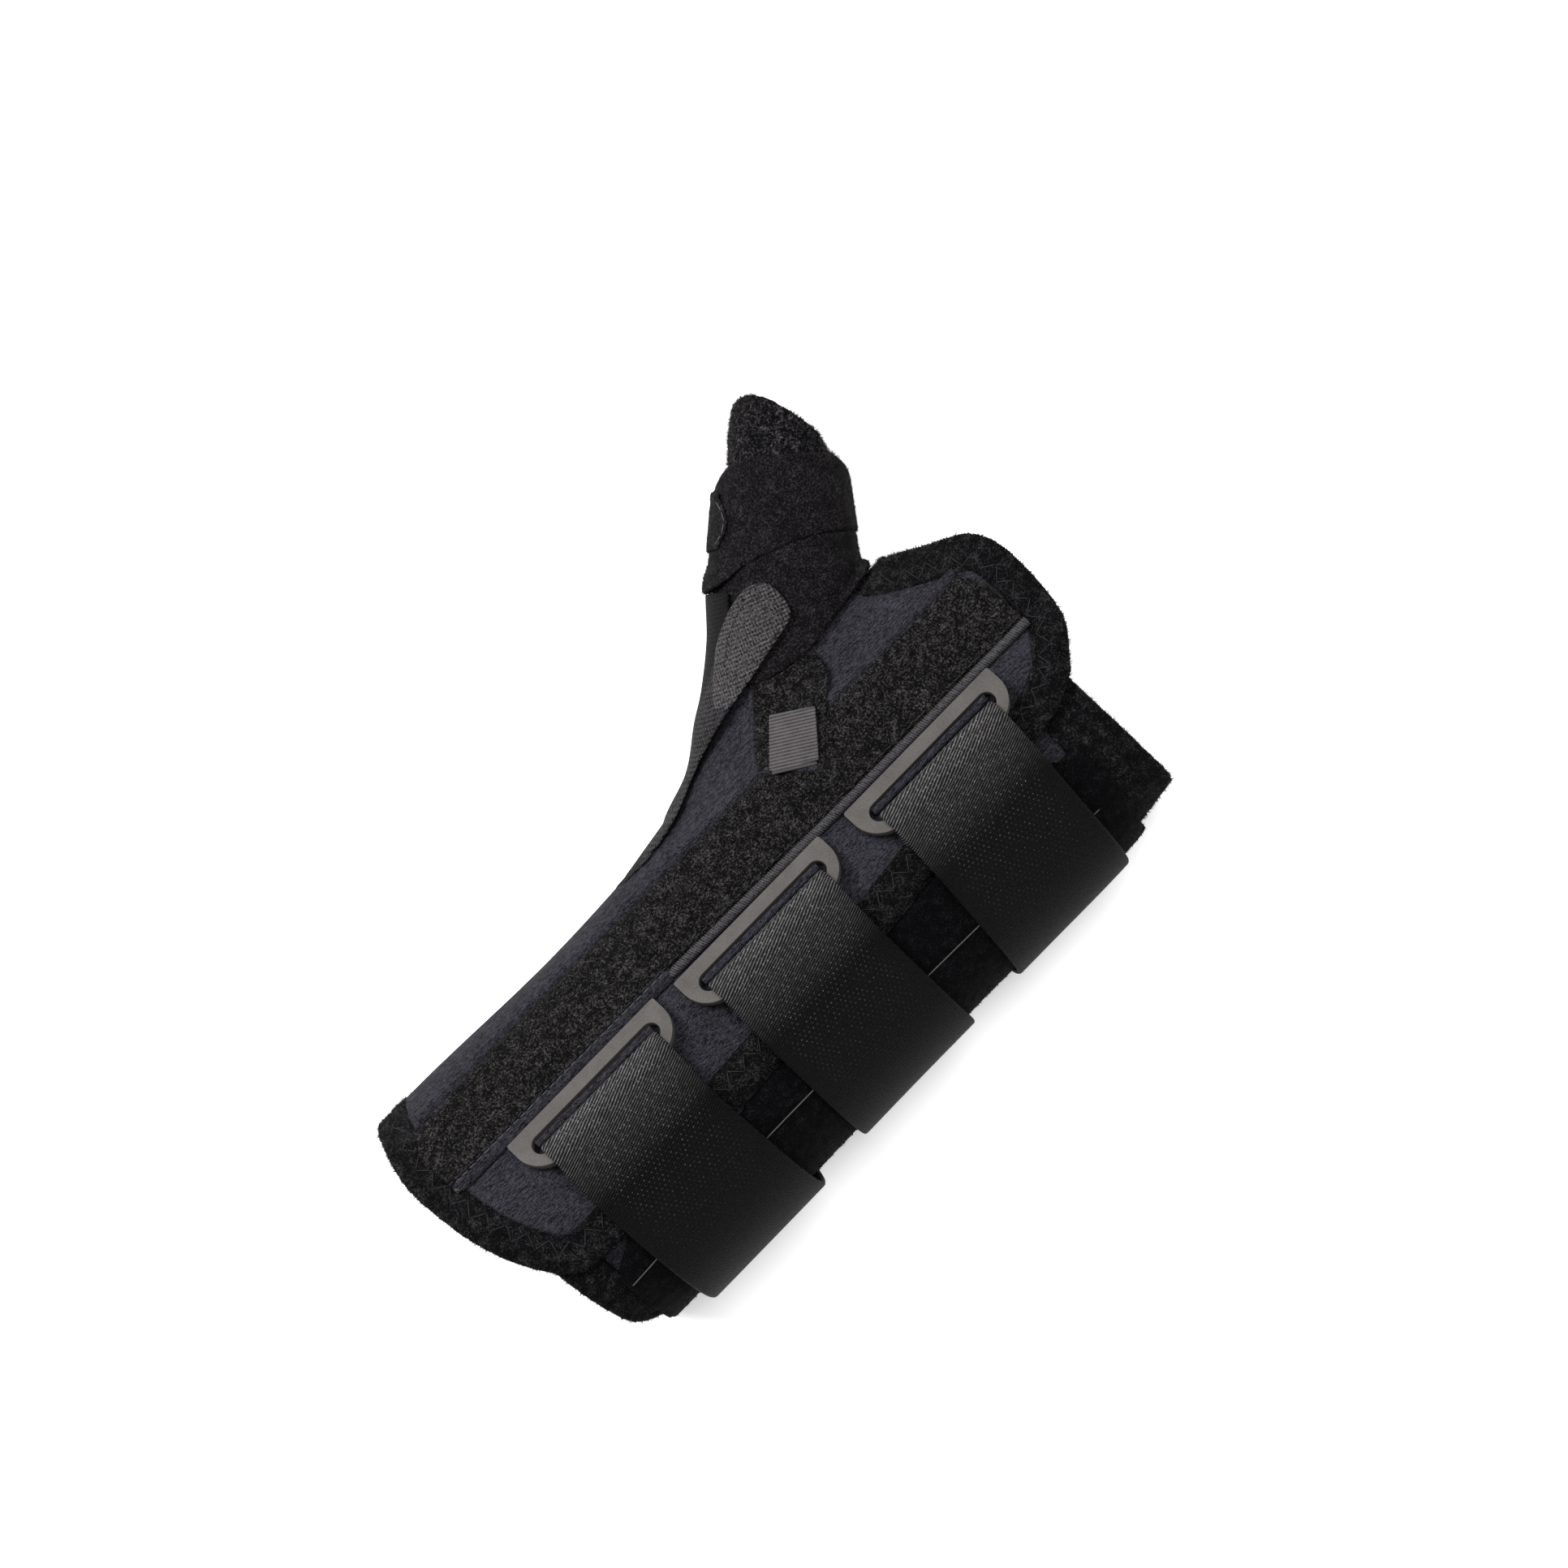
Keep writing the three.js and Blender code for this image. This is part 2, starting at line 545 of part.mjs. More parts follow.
function strapGeometry(strap, frame, middle) {
  const start = angleAt(middle, strapTop, wall);
  const finish = 2 * Math.PI - Math.acos(strapEnd / Math.hypot(strapEnd, 0.4 * braceHeight));
  const turns = steps(start, finish, strapSteps);
  const columns = strapColumns.map((column) => {
    const folded = foldPath.map(([y, z]) => new THREE.Vector3(column * strapWidth, y, z).applyMatrix4(frame));
    const laid = turns.map((theta, i) => {
      const x = middle + column * strapWidth + strap.drift * Math.min((2 * i) / strapSteps, 1);
      const base = wrapPoint(x, theta, wall);
      const bowed = strap.bow * Math.max(0, -Math.cos(theta)) ** 2;
      return wrapPoint(x, theta, strapOffset(base) + webbing / 2 + (base.z > hollowFloor ? bowed : 0));
    });
    return [...folded, ...laid];
  });
  const rows = columns[0].map((_, i) => {
    const sides = columns.map((points) => {
      const before = points[Math.max(i - 1, 0)];
      const here = points[i];
      const after = points[Math.min(i + 1, points.length - 1)];
      const into = new THREE.Vector2(here.y - before.y, here.z - before.z).normalize();
      const onward = new THREE.Vector2(after.y - here.y, after.z - here.z).normalize();
      const run = into.clone().add(onward).normalize();
      const bend = into.length() && onward.length() ? Math.max(run.dot(onward), 0.5) : 1;
      const reach = webbing / 2 / bend;
      return [-reach, reach].map((out) => (
        new THREE.Vector3(here.x, here.y - out * run.y, Math.max(here.z + out * run.x, 0))
      ));
    });
    return [...sides.map((side) => side[0]), ...sides.map((side) => side[1]).reverse()];
  });
  return loft(rows.reverse());
}

for (const strap of straps) {
  const middle = strap.along * braceLength;
  const ends = [-0.5, 0.5].map((side) => pipingAcross(strap.along + (side * ringLength) / braceLength));
  const top = Math.min(...ends) * braceWidth - pipingWidth / 2 - 2 * gap;
  const frame = ringFrame(middle, top);
  const plate = { depth: ringThickness, bevelEnabled: false, curveSegments: 6 };
  const ring = new THREE.ExtrudeGeometry(ringShape(), plate).applyMatrix4(frame);
  addPiece(`ring_${strap.name}`, ring, colours.plastic, 0.6);
  addPiece(`strap_${strap.name}`, strapGeometry(strap, frame, middle), colours.elastic);
}

export default splint;
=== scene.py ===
import json
import math

import bmesh
import bpy
import numpy as np
from mathutils import Matrix, Vector
from mathutils.bvhtree import BVHTree

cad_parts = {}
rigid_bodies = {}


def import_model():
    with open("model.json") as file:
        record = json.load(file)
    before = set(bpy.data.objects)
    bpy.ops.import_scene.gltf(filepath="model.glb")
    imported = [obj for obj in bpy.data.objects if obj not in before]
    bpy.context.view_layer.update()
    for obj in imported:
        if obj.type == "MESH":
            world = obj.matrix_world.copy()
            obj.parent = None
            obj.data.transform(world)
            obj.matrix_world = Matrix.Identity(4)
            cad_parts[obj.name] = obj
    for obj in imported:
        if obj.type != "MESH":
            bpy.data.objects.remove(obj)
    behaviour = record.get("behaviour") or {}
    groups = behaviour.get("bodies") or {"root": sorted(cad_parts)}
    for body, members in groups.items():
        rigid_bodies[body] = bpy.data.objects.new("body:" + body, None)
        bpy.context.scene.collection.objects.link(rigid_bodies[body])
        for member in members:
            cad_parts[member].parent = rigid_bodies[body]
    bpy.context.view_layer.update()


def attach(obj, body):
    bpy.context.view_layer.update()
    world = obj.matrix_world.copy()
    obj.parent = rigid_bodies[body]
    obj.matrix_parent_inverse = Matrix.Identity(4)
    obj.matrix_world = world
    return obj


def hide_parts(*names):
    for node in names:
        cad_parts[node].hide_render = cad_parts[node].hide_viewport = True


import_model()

# Padded laminate wrap
# Two padded panels of brushed navy laminate close round the forearm and palm. They are sewn along the
# radial edge, and the dorsal one laps over the palmar one on the ulnar side.

MM = 0.001
LENGTH = 206.0
WIDTH = 80.0
HEIGHT = 62.0
WALL = 3.0
GAP = 0.3
WEBBING = 1.6
UNDERSIDE = WEBBING + GAP
HOLLOW_FLOOR = UNDERSIDE + WALL
SEAM_HEIGHT = UNDERSIDE + 0.4 * HEIGHT
HIGH = 3 * HEIGHT
WIDE = 3 * WIDTH

# Columns: along, radial side, ulnar side, crown
WRAP_SECTIONS = np.array([
    (-0.56, 0.505, -0.488, 1.03),
    (-0.42, 0.512, -0.493, 1.0),
    (-0.2, 0.495, -0.493, 0.94),
    (0, 0.52, -0.49, 0.87),
    (0.2, 0.575, -0.492, 0.82),
    (0.36, 0.622, -0.49, 0.77),
    (0.45, 0.634, -0.463, 0.74),
    (0.56, 0.634, -0.45, 0.71),
])


def column_curve(table, column):
    """A smooth curve through one column of a table whose first column is the place along it."""
    along, values = table[:, 0], table[:, column]
    last = len(along) - 1
    before = np.maximum(np.arange(last + 1) - 1, 0)
    after = np.minimum(np.arange(last + 1) + 1, last)
    slopes = (values[after] - values[before]) / (along[after] - along[before])

    def curve(at):
        i = np.clip(np.searchsorted(along, at) - 1, 0, last - 1)
        span = along[i + 1] - along[i]
        t = np.clip((at - along[i]) / span, 0, 1)
        start = (2 * t**3 - 3 * t**2 + 1) * values[i] + (t**3 - 2 * t**2 + t) * span * slopes[i]
        return start + (3 * t**2 - 2 * t**3) * values[i + 1] + (t**3 - t**2) * span * slopes[i + 1]

    return curve


wrap_radial, wrap_ulnar, wrap_crown = [column_curve(WRAP_SECTIONS, i) for i in (1, 2, 3)]


def oval_point(right, left, floor, top, theta, offset):
    """Across and up on an oval section with a flattened underside, pushed out by offset."""
    half, middle = (right - left) / 2, (right + left) / 2
    centre = floor + 0.46 * (top - floor)
    cosine, sine = np.cos(theta), np.sin(theta)
    power = np.where(sine >= 0, 2.4, 2.7)
    rise = np.where(sine >= 0, top - centre, centre - floor + 3)
    radius = (np.abs(cosine / half) ** power + np.abs(sine / rise) ** power) ** (-1 / power)
    across, up = radius * cosine, radius * sine
    normal_across = np.sign(across) * np.abs(across / half) ** (power - 1) / half
    normal_up = np.sign(up) * np.abs(up / rise) ** (power - 1) / rise
    size = np.hypot(normal_across, normal_up)
    height = centre + up + normal_up / size * offset
    return middle + across + normal_across / size * offset, np.maximum(height, floor - offset)


def wrap_point(x, theta, offset):
    along = x / LENGTH
    y, z = oval_point(
        wrap_radial(along) * WIDTH - WALL,
        wrap_ulnar(along) * WIDTH + WALL,
        HOLLOW_FLOOR,
        UNDERSIDE + wrap_crown(along) * HEIGHT - WALL,
        theta,
        offset,
    )
    return np.stack(np.broadcast_arrays(x, y, z), -1)


def smoothstep(value, start, end):
    t = np.clip((value - start) / (end - start), 0, 1)
    return t * t * (3 - 2 * t)


LAP_START = 0.215 * WIDTH
LAP_FULL = 0.09 * WIDTH


def lap_rise(point):
    """The dorsal flap climbs over the palmar panel towards the ulnar side."""
    rise = (WALL + GAP) * smoothstep(LAP_START - point[..., 1], 0, LAP_START - LAP_FULL)
    radial_underside = (point[..., 2] < SEAM_HEIGHT - WALL) & (point[..., 1] > 0)
    return np.where(radial_underside, 0, rise)


def no_rise(point):
    return np.zeros(point.shape[:-1])


def linked(name, data):
    """A new object in the scene."""
    made = bpy.data.objects.new(name, data)
    bpy.context.scene.collection.objects.link(made)
    return made


def new_object(name, points, faces):
    mesh = bpy.data.meshes.new(name)
    mesh.from_pydata((np.asarray(points) * MM).tolist(), [], faces)
    return linked(name, mesh)


def loft(name, rings):
    """Rows of points, each row a closed ring, with flat ends."""
    rows, count = rings.shape[:2]
    j = np.arange(count)
    faces = []
    for i in range(rows - 1):
        low, high = i * count, (i + 1) * count
        quads = np.stack([low + j, low + (j + 1) % count, high + (j + 1) % count, high + j], -1)
        faces.extend(quads.tolist())
    faces.append(list(range(count - 1, -1, -1)))
    faces.append(list(range((rows - 1) * count, rows * count)))
    made = new_object(name, rings.reshape(-1, 3), faces)
    made.data.validate()
    work = bmesh.new()
    work.from_mesh(made.data)
    bmesh.ops.recalc_face_normals(work, faces=work.faces)
    bmesh.ops.triangulate(work, faces=[face for face in work.faces if len(face.verts) > 4])
    work.to_mesh(made.data)
    work.free()
    return made


def applied(made):
    """The object with its modifiers applied."""
    shape = made.evaluated_get(bpy.context.evaluated_depsgraph_get())
    mesh = bpy.data.meshes.new_from_object(shape)
    made.modifiers.clear()
    made.data = mesh
    return made


def boolean(made, other, operation):
    cut = made.modifiers.new("cut", "BOOLEAN")
    cut.operation = operation
    cut.solver = "MANIFOLD"
    cut.object = other
    return applied(made)


def discard(*objects):
    for unwanted in objects:
        bpy.data.objects.remove(unwanted, do_unlink=True)


# Columns: along, outer side, web side, crown
THUMB_REACH = 102.0
THUMB_WIDTH = 32.0
THUMB_HEIGHT = 30.0
THUMB_LIFT = 3.0
THUMB_SECTIONS = np.array([
    (-0.112, -0.14, 1.17, 1.15),
    (0.016, 0.01, 1.29, 1.2),
    (0.104, 0.155, 1.36, 1.22),
    (0.182, 0.254, 1.42, 1.2),
    (0.261, 0.33, 1.465, 1.18),
    (0.319, 0.372, 1.48, 1.15),
    (0.437, 0.415, 1.48, 1.09),
    (0.545, 0.41, 1.44, 1.05),
    (0.653, 0.425, 1.37, 1.0),
    (0.761, 0.454, 1.32, 0.95),
    (0.839, 0.472, 1.285, 0.91),
    (0.927, 0.482, 1.25, 0.87),
    (1.06, 0.55, 1.23, 0.82),
])
thumb_outer, thumb_web, thumb_crown = [column_curve(THUMB_SECTIONS, i) for i in (1, 2, 3)]
THUMB_ROOT = np.array([0, float(wrap_radial(0.0)) * WIDTH])
THUMB_AXIS = np.array([math.sqrt(0.5), math.sqrt(0.5)])
THUMB_ACROSS = np.array([math.sqrt(0.5), -math.sqrt(0.5)])


def thumb_point(along, theta, offset):
    floor = HOLLOW_FLOOR + THUMB_LIFT
    across, z = oval_point(
        thumb_web(along) * THUMB_WIDTH - WALL,
        thumb_outer(along) * THUMB_WIDTH + WALL,
        floor,
        floor + thumb_crown(along) * THUMB_HEIGHT - 2 * WALL,
        theta,
        offset,
    )
    x = THUMB_ROOT[0] + along * THUMB_REACH * THUMB_AXIS[0] + across * THUMB_ACROSS[0]
    y = THUMB_ROOT[1] + along * THUMB_REACH * THUMB_AXIS[1] + across * THUMB_ACROSS[1]
    return np.stack(np.broadcast_arrays(x, y, z), -1)


forms = {}


def form(offset, rise=no_rise):
    """Solid wrap and thumb, pushed out from the hollow by offset and by a rise that varies over them."""
    key = (round(offset, 3), rise.__name__)
    if key not in forms:
        halves = []
        for point, stations, turns in (
            (wrap_point, np.linspace(-0.55, 0.55, 130) * LENGTH, 160),
            (thumb_point, np.linspace(-0.11, 1.05, 100), 96),
        ):
            theta = (np.arange(turns) + 0.5) * 2 * math.pi / turns
            along, angle = stations[:, None], theta[None, :]
            raised = offset + rise(point(along, angle, WALL))
            halves.append(loft("form", point(along, angle, raised)))
        forms[key] = boolean(halves[0], halves[1], "UNION")
        discard(halves[1])
    return forms[key]


def prism(outline, bottom=-HIGH, top=HIGH):
    """Upright block over an outline seen from above."""
    flat = np.asarray(outline, float)
    levels = [np.column_stack([flat, np.full(len(flat), level)]) for level in (bottom, top)]
    return loft("prism", np.array(levels))


def block(start, end, low, high, bottom=-HIGH, top=HIGH):
    """Upright block from start to end along the arm and from low to high across it."""
    return prism([(start, low), (end, low), (end, high), (start, high)], bottom, top)


def smooth(points, steps=8):
    """Curve that runs smoothly through its points."""
    points = np.asarray(points, float)
    ends = np.vstack([points[:1], points, points[-1:]])
    t = np.linspace(0, 1, steps, endpoint=False)[:, None]
    spans = []
    for before, start, end, after in zip(ends[:-3], ends[1:-2], ends[2:-1], ends[3:]):
        a, b = (end - before) / 2, (after - start) / 2
        cubic = 2 * start - 2 * end + a + b
        square = -3 * start + 3 * end - 2 * a - b
        spans.append(cubic * t**3 + square * t**2 + a * t + start)
    return np.vstack([*spans, points[-1:]])


def shifted(points, distance):
    """Outline moved to its right by distance."""
    run = np.gradient(points, axis=0)
    run /= np.linalg.norm(run, axis=1)[:, None]
    return points + np.column_stack([run[:, 1], -run[:, 0]]) * distance


def wrap_plan(rows):
    return np.asarray(rows, float) * (LENGTH, WIDTH)


def thumb_plan(rows):
    rows = np.asarray(rows, float)
    along = rows[:, :1] * THUMB_REACH * THUMB_AXIS
    return THUMB_ROOT + along + rows[:, 1:] * THUMB_WIDTH * THUMB_ACROSS


def cloth(name, inner, thickness, kept, removed=(), rise=no_rise, under=None, voxel=0.5, rounding=5):
    """A layer of cloth between two offsets from the hollow, cut by prisms, with soft edges."""
    outer = linked(name, form(inner + thickness, rise).data.copy())
    made = boolean(outer, form(inner, under or rise), "DIFFERENCE")
    for solid in kept:
        boolean(made, solid, "INTERSECT")
    for solid in removed:
        boolean(made, solid, "DIFFERENCE")
    remesh = made.modifiers.new("remesh", "REMESH")
    remesh.mode = "VOXEL"
    remesh.voxel_size = voxel * MM
    soften = made.modifiers.new("soften", "SMOOTH")
    soften.iterations = rounding
    applied(made)
    made.data.shade_smooth()
    return made


FAR_HAND = (LENGTH, WIDE)
FAR_FOREARM = (-LENGTH, WIDE)
dorsal_edge = smooth(wrap_plan([
    (0.375, 0.67), (0.392, 0.63), (0.437, 0.562), (0.485, 0.484), (0.5, 0.36), (0.492, 0.14),
    (0.461, 0.024), (0.444, -0.016), (0.388, -0.069), (0.243, -0.112), (0, -0.175), (-0.22, -0.21),
    (-0.388, -0.225), (-0.437, -0.19), (-0.468, -0.07), (-0.488, 0.078), (-0.501, 0.297),
    (-0.491, 0.47), (-0.481, 0.56),
]))
sleeve_seam = smooth(thumb_plan([
    (0.349, -0.6), (0.349, 0.345), (0.353, 0.643), (0.401, 0.93), (0.471, 1.151),
    (0.547, 1.35), (0.622, 1.53), (0.66, 1.62),
]))
SEAM_END = sleeve_seam[-1][1]
thumb_side = prism([*sleeve_seam, (LENGTH, SEAM_END), FAR_HAND, (-0.2 * LENGTH, WIDE)])
wrap_side = prism([
    *shifted(sleeve_seam, GAP), (LENGTH, SEAM_END - GAP), (LENGTH, -WIDE), (-LENGTH, -WIDE), FAR_FOREARM,
    (sleeve_seam[0][0], WIDE),
])
BINDING = 8.5


def dorsal_outline(inset):
    return [*shifted(dorsal_edge, inset), FAR_FOREARM, FAR_HAND]


dorsal_panel = cloth(
    "dorsal_laminate", 0, WALL,
    [prism(dorsal_outline(BINDING), SEAM_HEIGHT + GAP / 2), wrap_side],
    rise=lap_rise, voxel=1.1, rounding=3,
)

palm_hand_end = smooth(wrap_plan([
    (0.4, 0.8), (0.398, 0.64), (0.425, 0.5), (0.442, 0.3), (0.444, -0.05), (0.447, -0.3),
    (0.449, -0.46), (0.44, -0.6),
]))
palm_forearm_end = smooth(wrap_plan([
    (-0.405, -0.6), (-0.407, -0.49), (-0.423, -0.465), (-0.436, -0.42), (-0.442, -0.35), (-0.449, -0.2),
    (-0.452, 0), (-0.458, 0.25), (-0.474, 0.48), (-0.482, 0.6), (-0.482, 0.8),
]))


def palm_outline(inset):
    return [*shifted(palm_hand_end, 1.5 * inset), *shifted(palm_forearm_end, inset)]


dorsal_clearance = block(-LENGTH, LENGTH, 0, WIDE, SEAM_HEIGHT - GAP / 2)
palmar_panel = cloth(
    "palmar_laminate", 0, WALL, [prism(palm_outline(BINDING)), wrap_side], [dorsal_clearance],
    voxel=2.0, rounding=2,
)
sleeve = cloth(
    "thumb_laminate", 0, WALL,
    [thumb_side, prism(thumb_plan([(0.767, -0.7), (0.767, 1.8), (-0.3, 2.2), (-0.3, -0.7)]))],
    voxel=0.9, rounding=3,
)


class Wire:
    """One value in a material's node tree. Maths on wires adds Math nodes."""

    def __init__(self, tree, socket=None):
        self.tree = tree
        self.socket = socket

    def node(self, kind, settings=None, sockets=None, output=0):
        made = self.tree.nodes.new(kind)
        for name, value in (settings or {}).items():
            setattr(made, name, value)
        for name, value in (sockets or {}).items():
            if isinstance(value, Wire):
                self.tree.links.new(value.socket, made.inputs[name])
            else:
                made.inputs[name].default_value = value
        return Wire(self.tree, made.outputs[output])

    def maths(self, operation, first, second=0.0):
        return self.node("ShaderNodeMath", {"operation": operation}, {0: first, 1: second})

    def __add__(self, other):
        return self.maths("ADD", self, other)

    __radd__ = __add__

    def __mul__(self, other):
        return self.maths("MULTIPLY", self, other)

    __rmul__ = __mul__

    def __sub__(self, other):
        return self.maths("SUBTRACT", self, other)

    def __rsub__(self, other):
        return self.maths("SUBTRACT", other, self)

    def __truediv__(self, other):
        return self.maths("DIVIDE", self, other)

    def power(self, other):
        return self.maths("POWER", self, other)

    def clamped(self):
        return self.node("ShaderNodeClamp", None, {"Value": self})

    def along(self, direction):
        sockets = {0: self, 1: direction}
        return self.node("ShaderNodeVectorMath", {"operation": "DOT_PRODUCT"}, sockets, output=1)


def linear(red, green, blue):
    """A colour given as 0 to 255, as linear light."""
    shares = [value / 255 for value in (red, green, blue)]
    return tuple(share / 12.92 if share < 0.04045 else ((share + 0.055) / 1.055) ** 2.4 for share in shares)


def mixed(factor, first, second):
    """Mix of two colours, each a wire or a linear colour."""
    ends = [colour if isinstance(colour, Wire) else (*colour, 1) for colour in (first, second)]
    sockets = {"Factor": factor, 6: ends[0], 7: ends[1]}
    return factor.node("ShaderNodeMix", {"data_type": "RGBA"}, sockets, output=2)


def finish(name, paint, gloss=0.06):
    """A material. Its paint gives colour, roughness, height and the height's depth in millimetres."""
    material = bpy.data.materials.new(name)
    material.use_nodes = True
    tree = material.node_tree
    shader = tree.nodes["Principled BSDF"]
    shader.inputs["Specular IOR Level"].default_value = gloss
    start = Wire(tree)
    colour, roughness, height, depth = paint(start)
    tree.links.new(colour.socket, shader.inputs["Base Color"])
    if isinstance(roughness, Wire):
        tree.links.new(roughness.socket, shader.inputs["Roughness"])
    else:
        shader.inputs["Roughness"].default_value = roughness
    bump = start.node("ShaderNodeBump", None, {"Strength": 1.0, "Distance": depth * MM, "Height": height})
    tree.links.new(bump.socket, shader.inputs["Normal"])
    return material


def place(start):
    """Where a point of the surface lies, in millimetres."""
    here = start.node("ShaderNodeTexCoord", output="Object")
    return start.node("ShaderNodeVectorMath", {"operation": "SCALE"}, {0: here, "Scale": 1000.0})


def grain(here, size, detail=2.0, roughness=0.6):
    """Noise from 0 to 1 whose lumps are about size millimetres across."""
    sockets = {"Vector": here, "Scale": 1 / size, "Detail": detail, "Roughness": roughness}
    return here.node("ShaderNodeTexNoise", None, sockets)


def laminate_paint(start):
    here = place(start)
    nap = grain(here, 0.32, 3.0, 0.75)
    streaks = here.node("ShaderNodeVectorMath", {"operation": "MULTIPLY"}, {0: here, 1: (0.35, 1.5, 1.0)})
    ribs = grain(streaks, 0.55, 3.0, 0.7)
    patches = grain(here, 11.0)
    shade = ((nap - 0.5) * 2.6 + (ribs - 0.5) * 2.2 + (patches - 0.5) * 0.4 + 0.36).clamped()
    colour = mixed(shade, linear(7, 7, 11), linear(58, 57, 64))
    return colour, 0.95, nap + ribs, 0.25


laminate = finish("brushed_laminate", laminate_paint)


def dress(piece, material, slot_name, *nodes):
    """Gives a piece its material and body, and hides the solids that it stands for."""
    piece.data.materials.clear()
    piece.data.materials.append(material)
    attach(piece, "root")
    if nodes:
        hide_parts(*nodes)
    return piece


def sheet_of(piece, width, length, held, under, with_pieces=()):
    """Works out the flat size of a piece cut width by length millimetres and keeps nothing; what it lies on
    is not used.
    """
    flat = (width * MM, length * MM)


for panel, node in ((dorsal_panel, "dorsal_panel"), (palmar_panel, "palmar_panel"), (sleeve, "thumb_sleeve")):
    dress(panel, laminate, "laminate", node)

# Fleece binding
# A strip of soft fleece is folded over every free edge of the two panels and over the thumb's opening. It is
# held by a zigzag stitch, and its pile is combed outwards over the edge.

FLEECE_DEPTH = WALL + 0.35


def ruffle(piece, size, depth):
    """Soft lumps in a cloth's surface, about size millimetres across."""
    lumps = bpy.data.textures.new("lumps", "CLOUDS")
    lumps.noise_scale = size * MM
    lumps.noise_depth = 2
    push = piece.modifiers.new("lumps", "DISPLACE")
    push.texture = lumps
    push.texture_coords = "GLOBAL"
    push.strength = depth * MM
    push.mid_level = 0.5
    return applied(piece)


def wrap_core(points):
    """Middle of the wrap beside each point."""
    along = points[:, 0] / LENGTH
    core = points.copy()
    core[:, 1] = (wrap_radial(along) + wrap_ulnar(along)) / 2 * WIDTH
    core[:, 2] = 0.5 * HEIGHT
    return core


def thumb_core(points):
    """Middle of the thumb sleeve beside each point."""
    along = (points[:, :2] - THUMB_ROOT) @ THUMB_AXIS
    flat = THUMB_ROOT + along[:, None] * THUMB_AXIS + 0.9 * THUMB_WIDTH * THUMB_ACROSS
    return np.column_stack([flat, np.full(len(points), HOLLOW_FLOOR + 0.5 * THUMB_HEIGHT)])


def unit(vectors):
    return vectors / np.maximum(np.linalg.norm(vectors, axis=-1, keepdims=True), 1e-9)


def mesh_arrays(mesh):
    """Points in millimetres and triangles of a mesh."""
    mesh.calc_loop_triangles()
    points = np.empty(len(mesh.vertices) * 3)
    mesh.vertices.foreach_get("co", points)
    triangles = np.empty(len(mesh.loop_triangles) * 3, int)
    mesh.loop_triangles.foreach_get("vertices", triangles)
    return points.reshape(-1, 3) / MM, triangles.reshape(-1, 3)


def solid_from(name, points, triangles, tips=None):
    """A mesh from arrays of points in millimetres and triangles, with how light each fibre is at its tip."""
    mesh = bpy.data.meshes.new(name)
    mesh.vertices.add(len(points))
    mesh.vertices.foreach_set("co", (points * MM).ravel())
    mesh.loops.add(triangles.size)
    mesh.loops.foreach_set("vertex_index", triangles.ravel().astype(np.int32))
    mesh.polygons.add(len(triangles))
    mesh.polygons.foreach_set("loop_start", np.arange(0, triangles.size, 3, dtype=np.int32))
    mesh.update(calc_edges=True)
    mesh.shade_smooth()
    if tips is not None:
        mesh.attributes.new("tip", "FLOAT", "POINT").data.foreach_set("value", tips.astype(np.float32))
    return mesh


def furred(
    piece, look, node, cut, under, core, per_area, length, width=0.2, lean=1.0, comb=(0, 0, 0), seed=1,
):
    """Dresses a cloth and roots closed spikes over its outward faces, leaning at random and along comb."""
    points, triangles = mesh_arrays(piece.data)
    a, b, c = points[triangles].transpose(1, 0, 2)
    spread = np.cross(b - a, c - a)
    areas = np.linalg.norm(spread, axis=1) / 2
    normals = unit(spread)
    middle = (a + b + c) / 3
    outward = (normals * unit(middle - core(middle))).sum(1) > -0.1
    areas = np.where(outward, areas, 0)
    dice = np.random.default_rng(seed)
    number = int(areas.sum() * per_area)
    chosen = dice.choice(len(areas), number, p=areas / areas.sum())
    u, v = dice.random((2, number, 1))
    folded = u + v > 1
    u, v = np.where(folded, 1 - u, u), np.where(folded, 1 - v, v)
    normal = normals[chosen]
    root = a[chosen] + u * (b - a)[chosen] + v * (c - a)[chosen] - 0.25 * normal
    loose = dice.normal(size=(number, 3))
    sideways = unit(loose - (loose * normal).sum(1, keepdims=True) * normal)
    along = unit(normal + lean * sideways + np.array(comb))
    tip = root + along * (0.25 + length * (0.45 + 1.1 * dice.random((number, 1)) ** 4))
    right = unit(np.cross(along, dice.normal(size=(number, 3)))) * width / 2
    up = np.cross(along, right)
    spikes = np.stack([root - right - 0.6 * up, root + right - 0.6 * up, root + 1.1 * up, tip], 1)
    spikes = spikes.reshape(-1, 3)
    spikes[:, 2] = np.maximum(spikes[:, 2], 0)
    faces = np.array([(0, 2, 1), (0, 1, 3), (1, 2, 3), (2, 0, 3)])
    triangles = (4 * np.arange(number)[:, None, None] + faces).reshape(-1, 3)
    # Each fibre gets a random lightness at its tip as a painted highlight, and its root is painted at three
    # tenths of it as painted shade at the foot of the pile.
    tips = np.outer(dice.random(number) ** 2.2, (0.3, 0.3, 0.3, 1.0)).ravel()
    name = f"{piece.name}_fibres"
    fibres = linked(name, solid_from(name, spikes, triangles, tips))
    dress(fibres, *look)
    dress(piece, *look, *([node] if node else []))
    sheet_of(piece, *cut, under, [fibres])
    return piece


def fibre_light(start):
    """How light a fibre is, from 0 in the cloth under the pile to 1 at the palest tips, painted highlights,
    with the roots painted darker as painted shade.
    """
    return start.node("ShaderNodeAttribute", {"attribute_name": "tip"}, output=2)


def napped(name, curls, tufts, weights, dark, light, depth, lumpy=1.0):
    """Fleece or pile. Curls and tufts are sizes and details of noise. Weights say how much the fibres' tips,
    the curls and the tufts lighten it, and from what level."""

    def paint(start):
        here = place(start)
        curl, tuft = grain(here, *curls), grain(here, *tufts)
        tip_share, curl_share, tuft_share, level = weights
        shade = fibre_light(start) * tip_share + (curl - 0.5) * curl_share + (tuft - 0.5) * tuft_share + level
        return mixed(shade.clamped(), linear(*dark), linear(*light)), 0.95, curl + tuft * lumpy, depth

    return finish(name, paint)


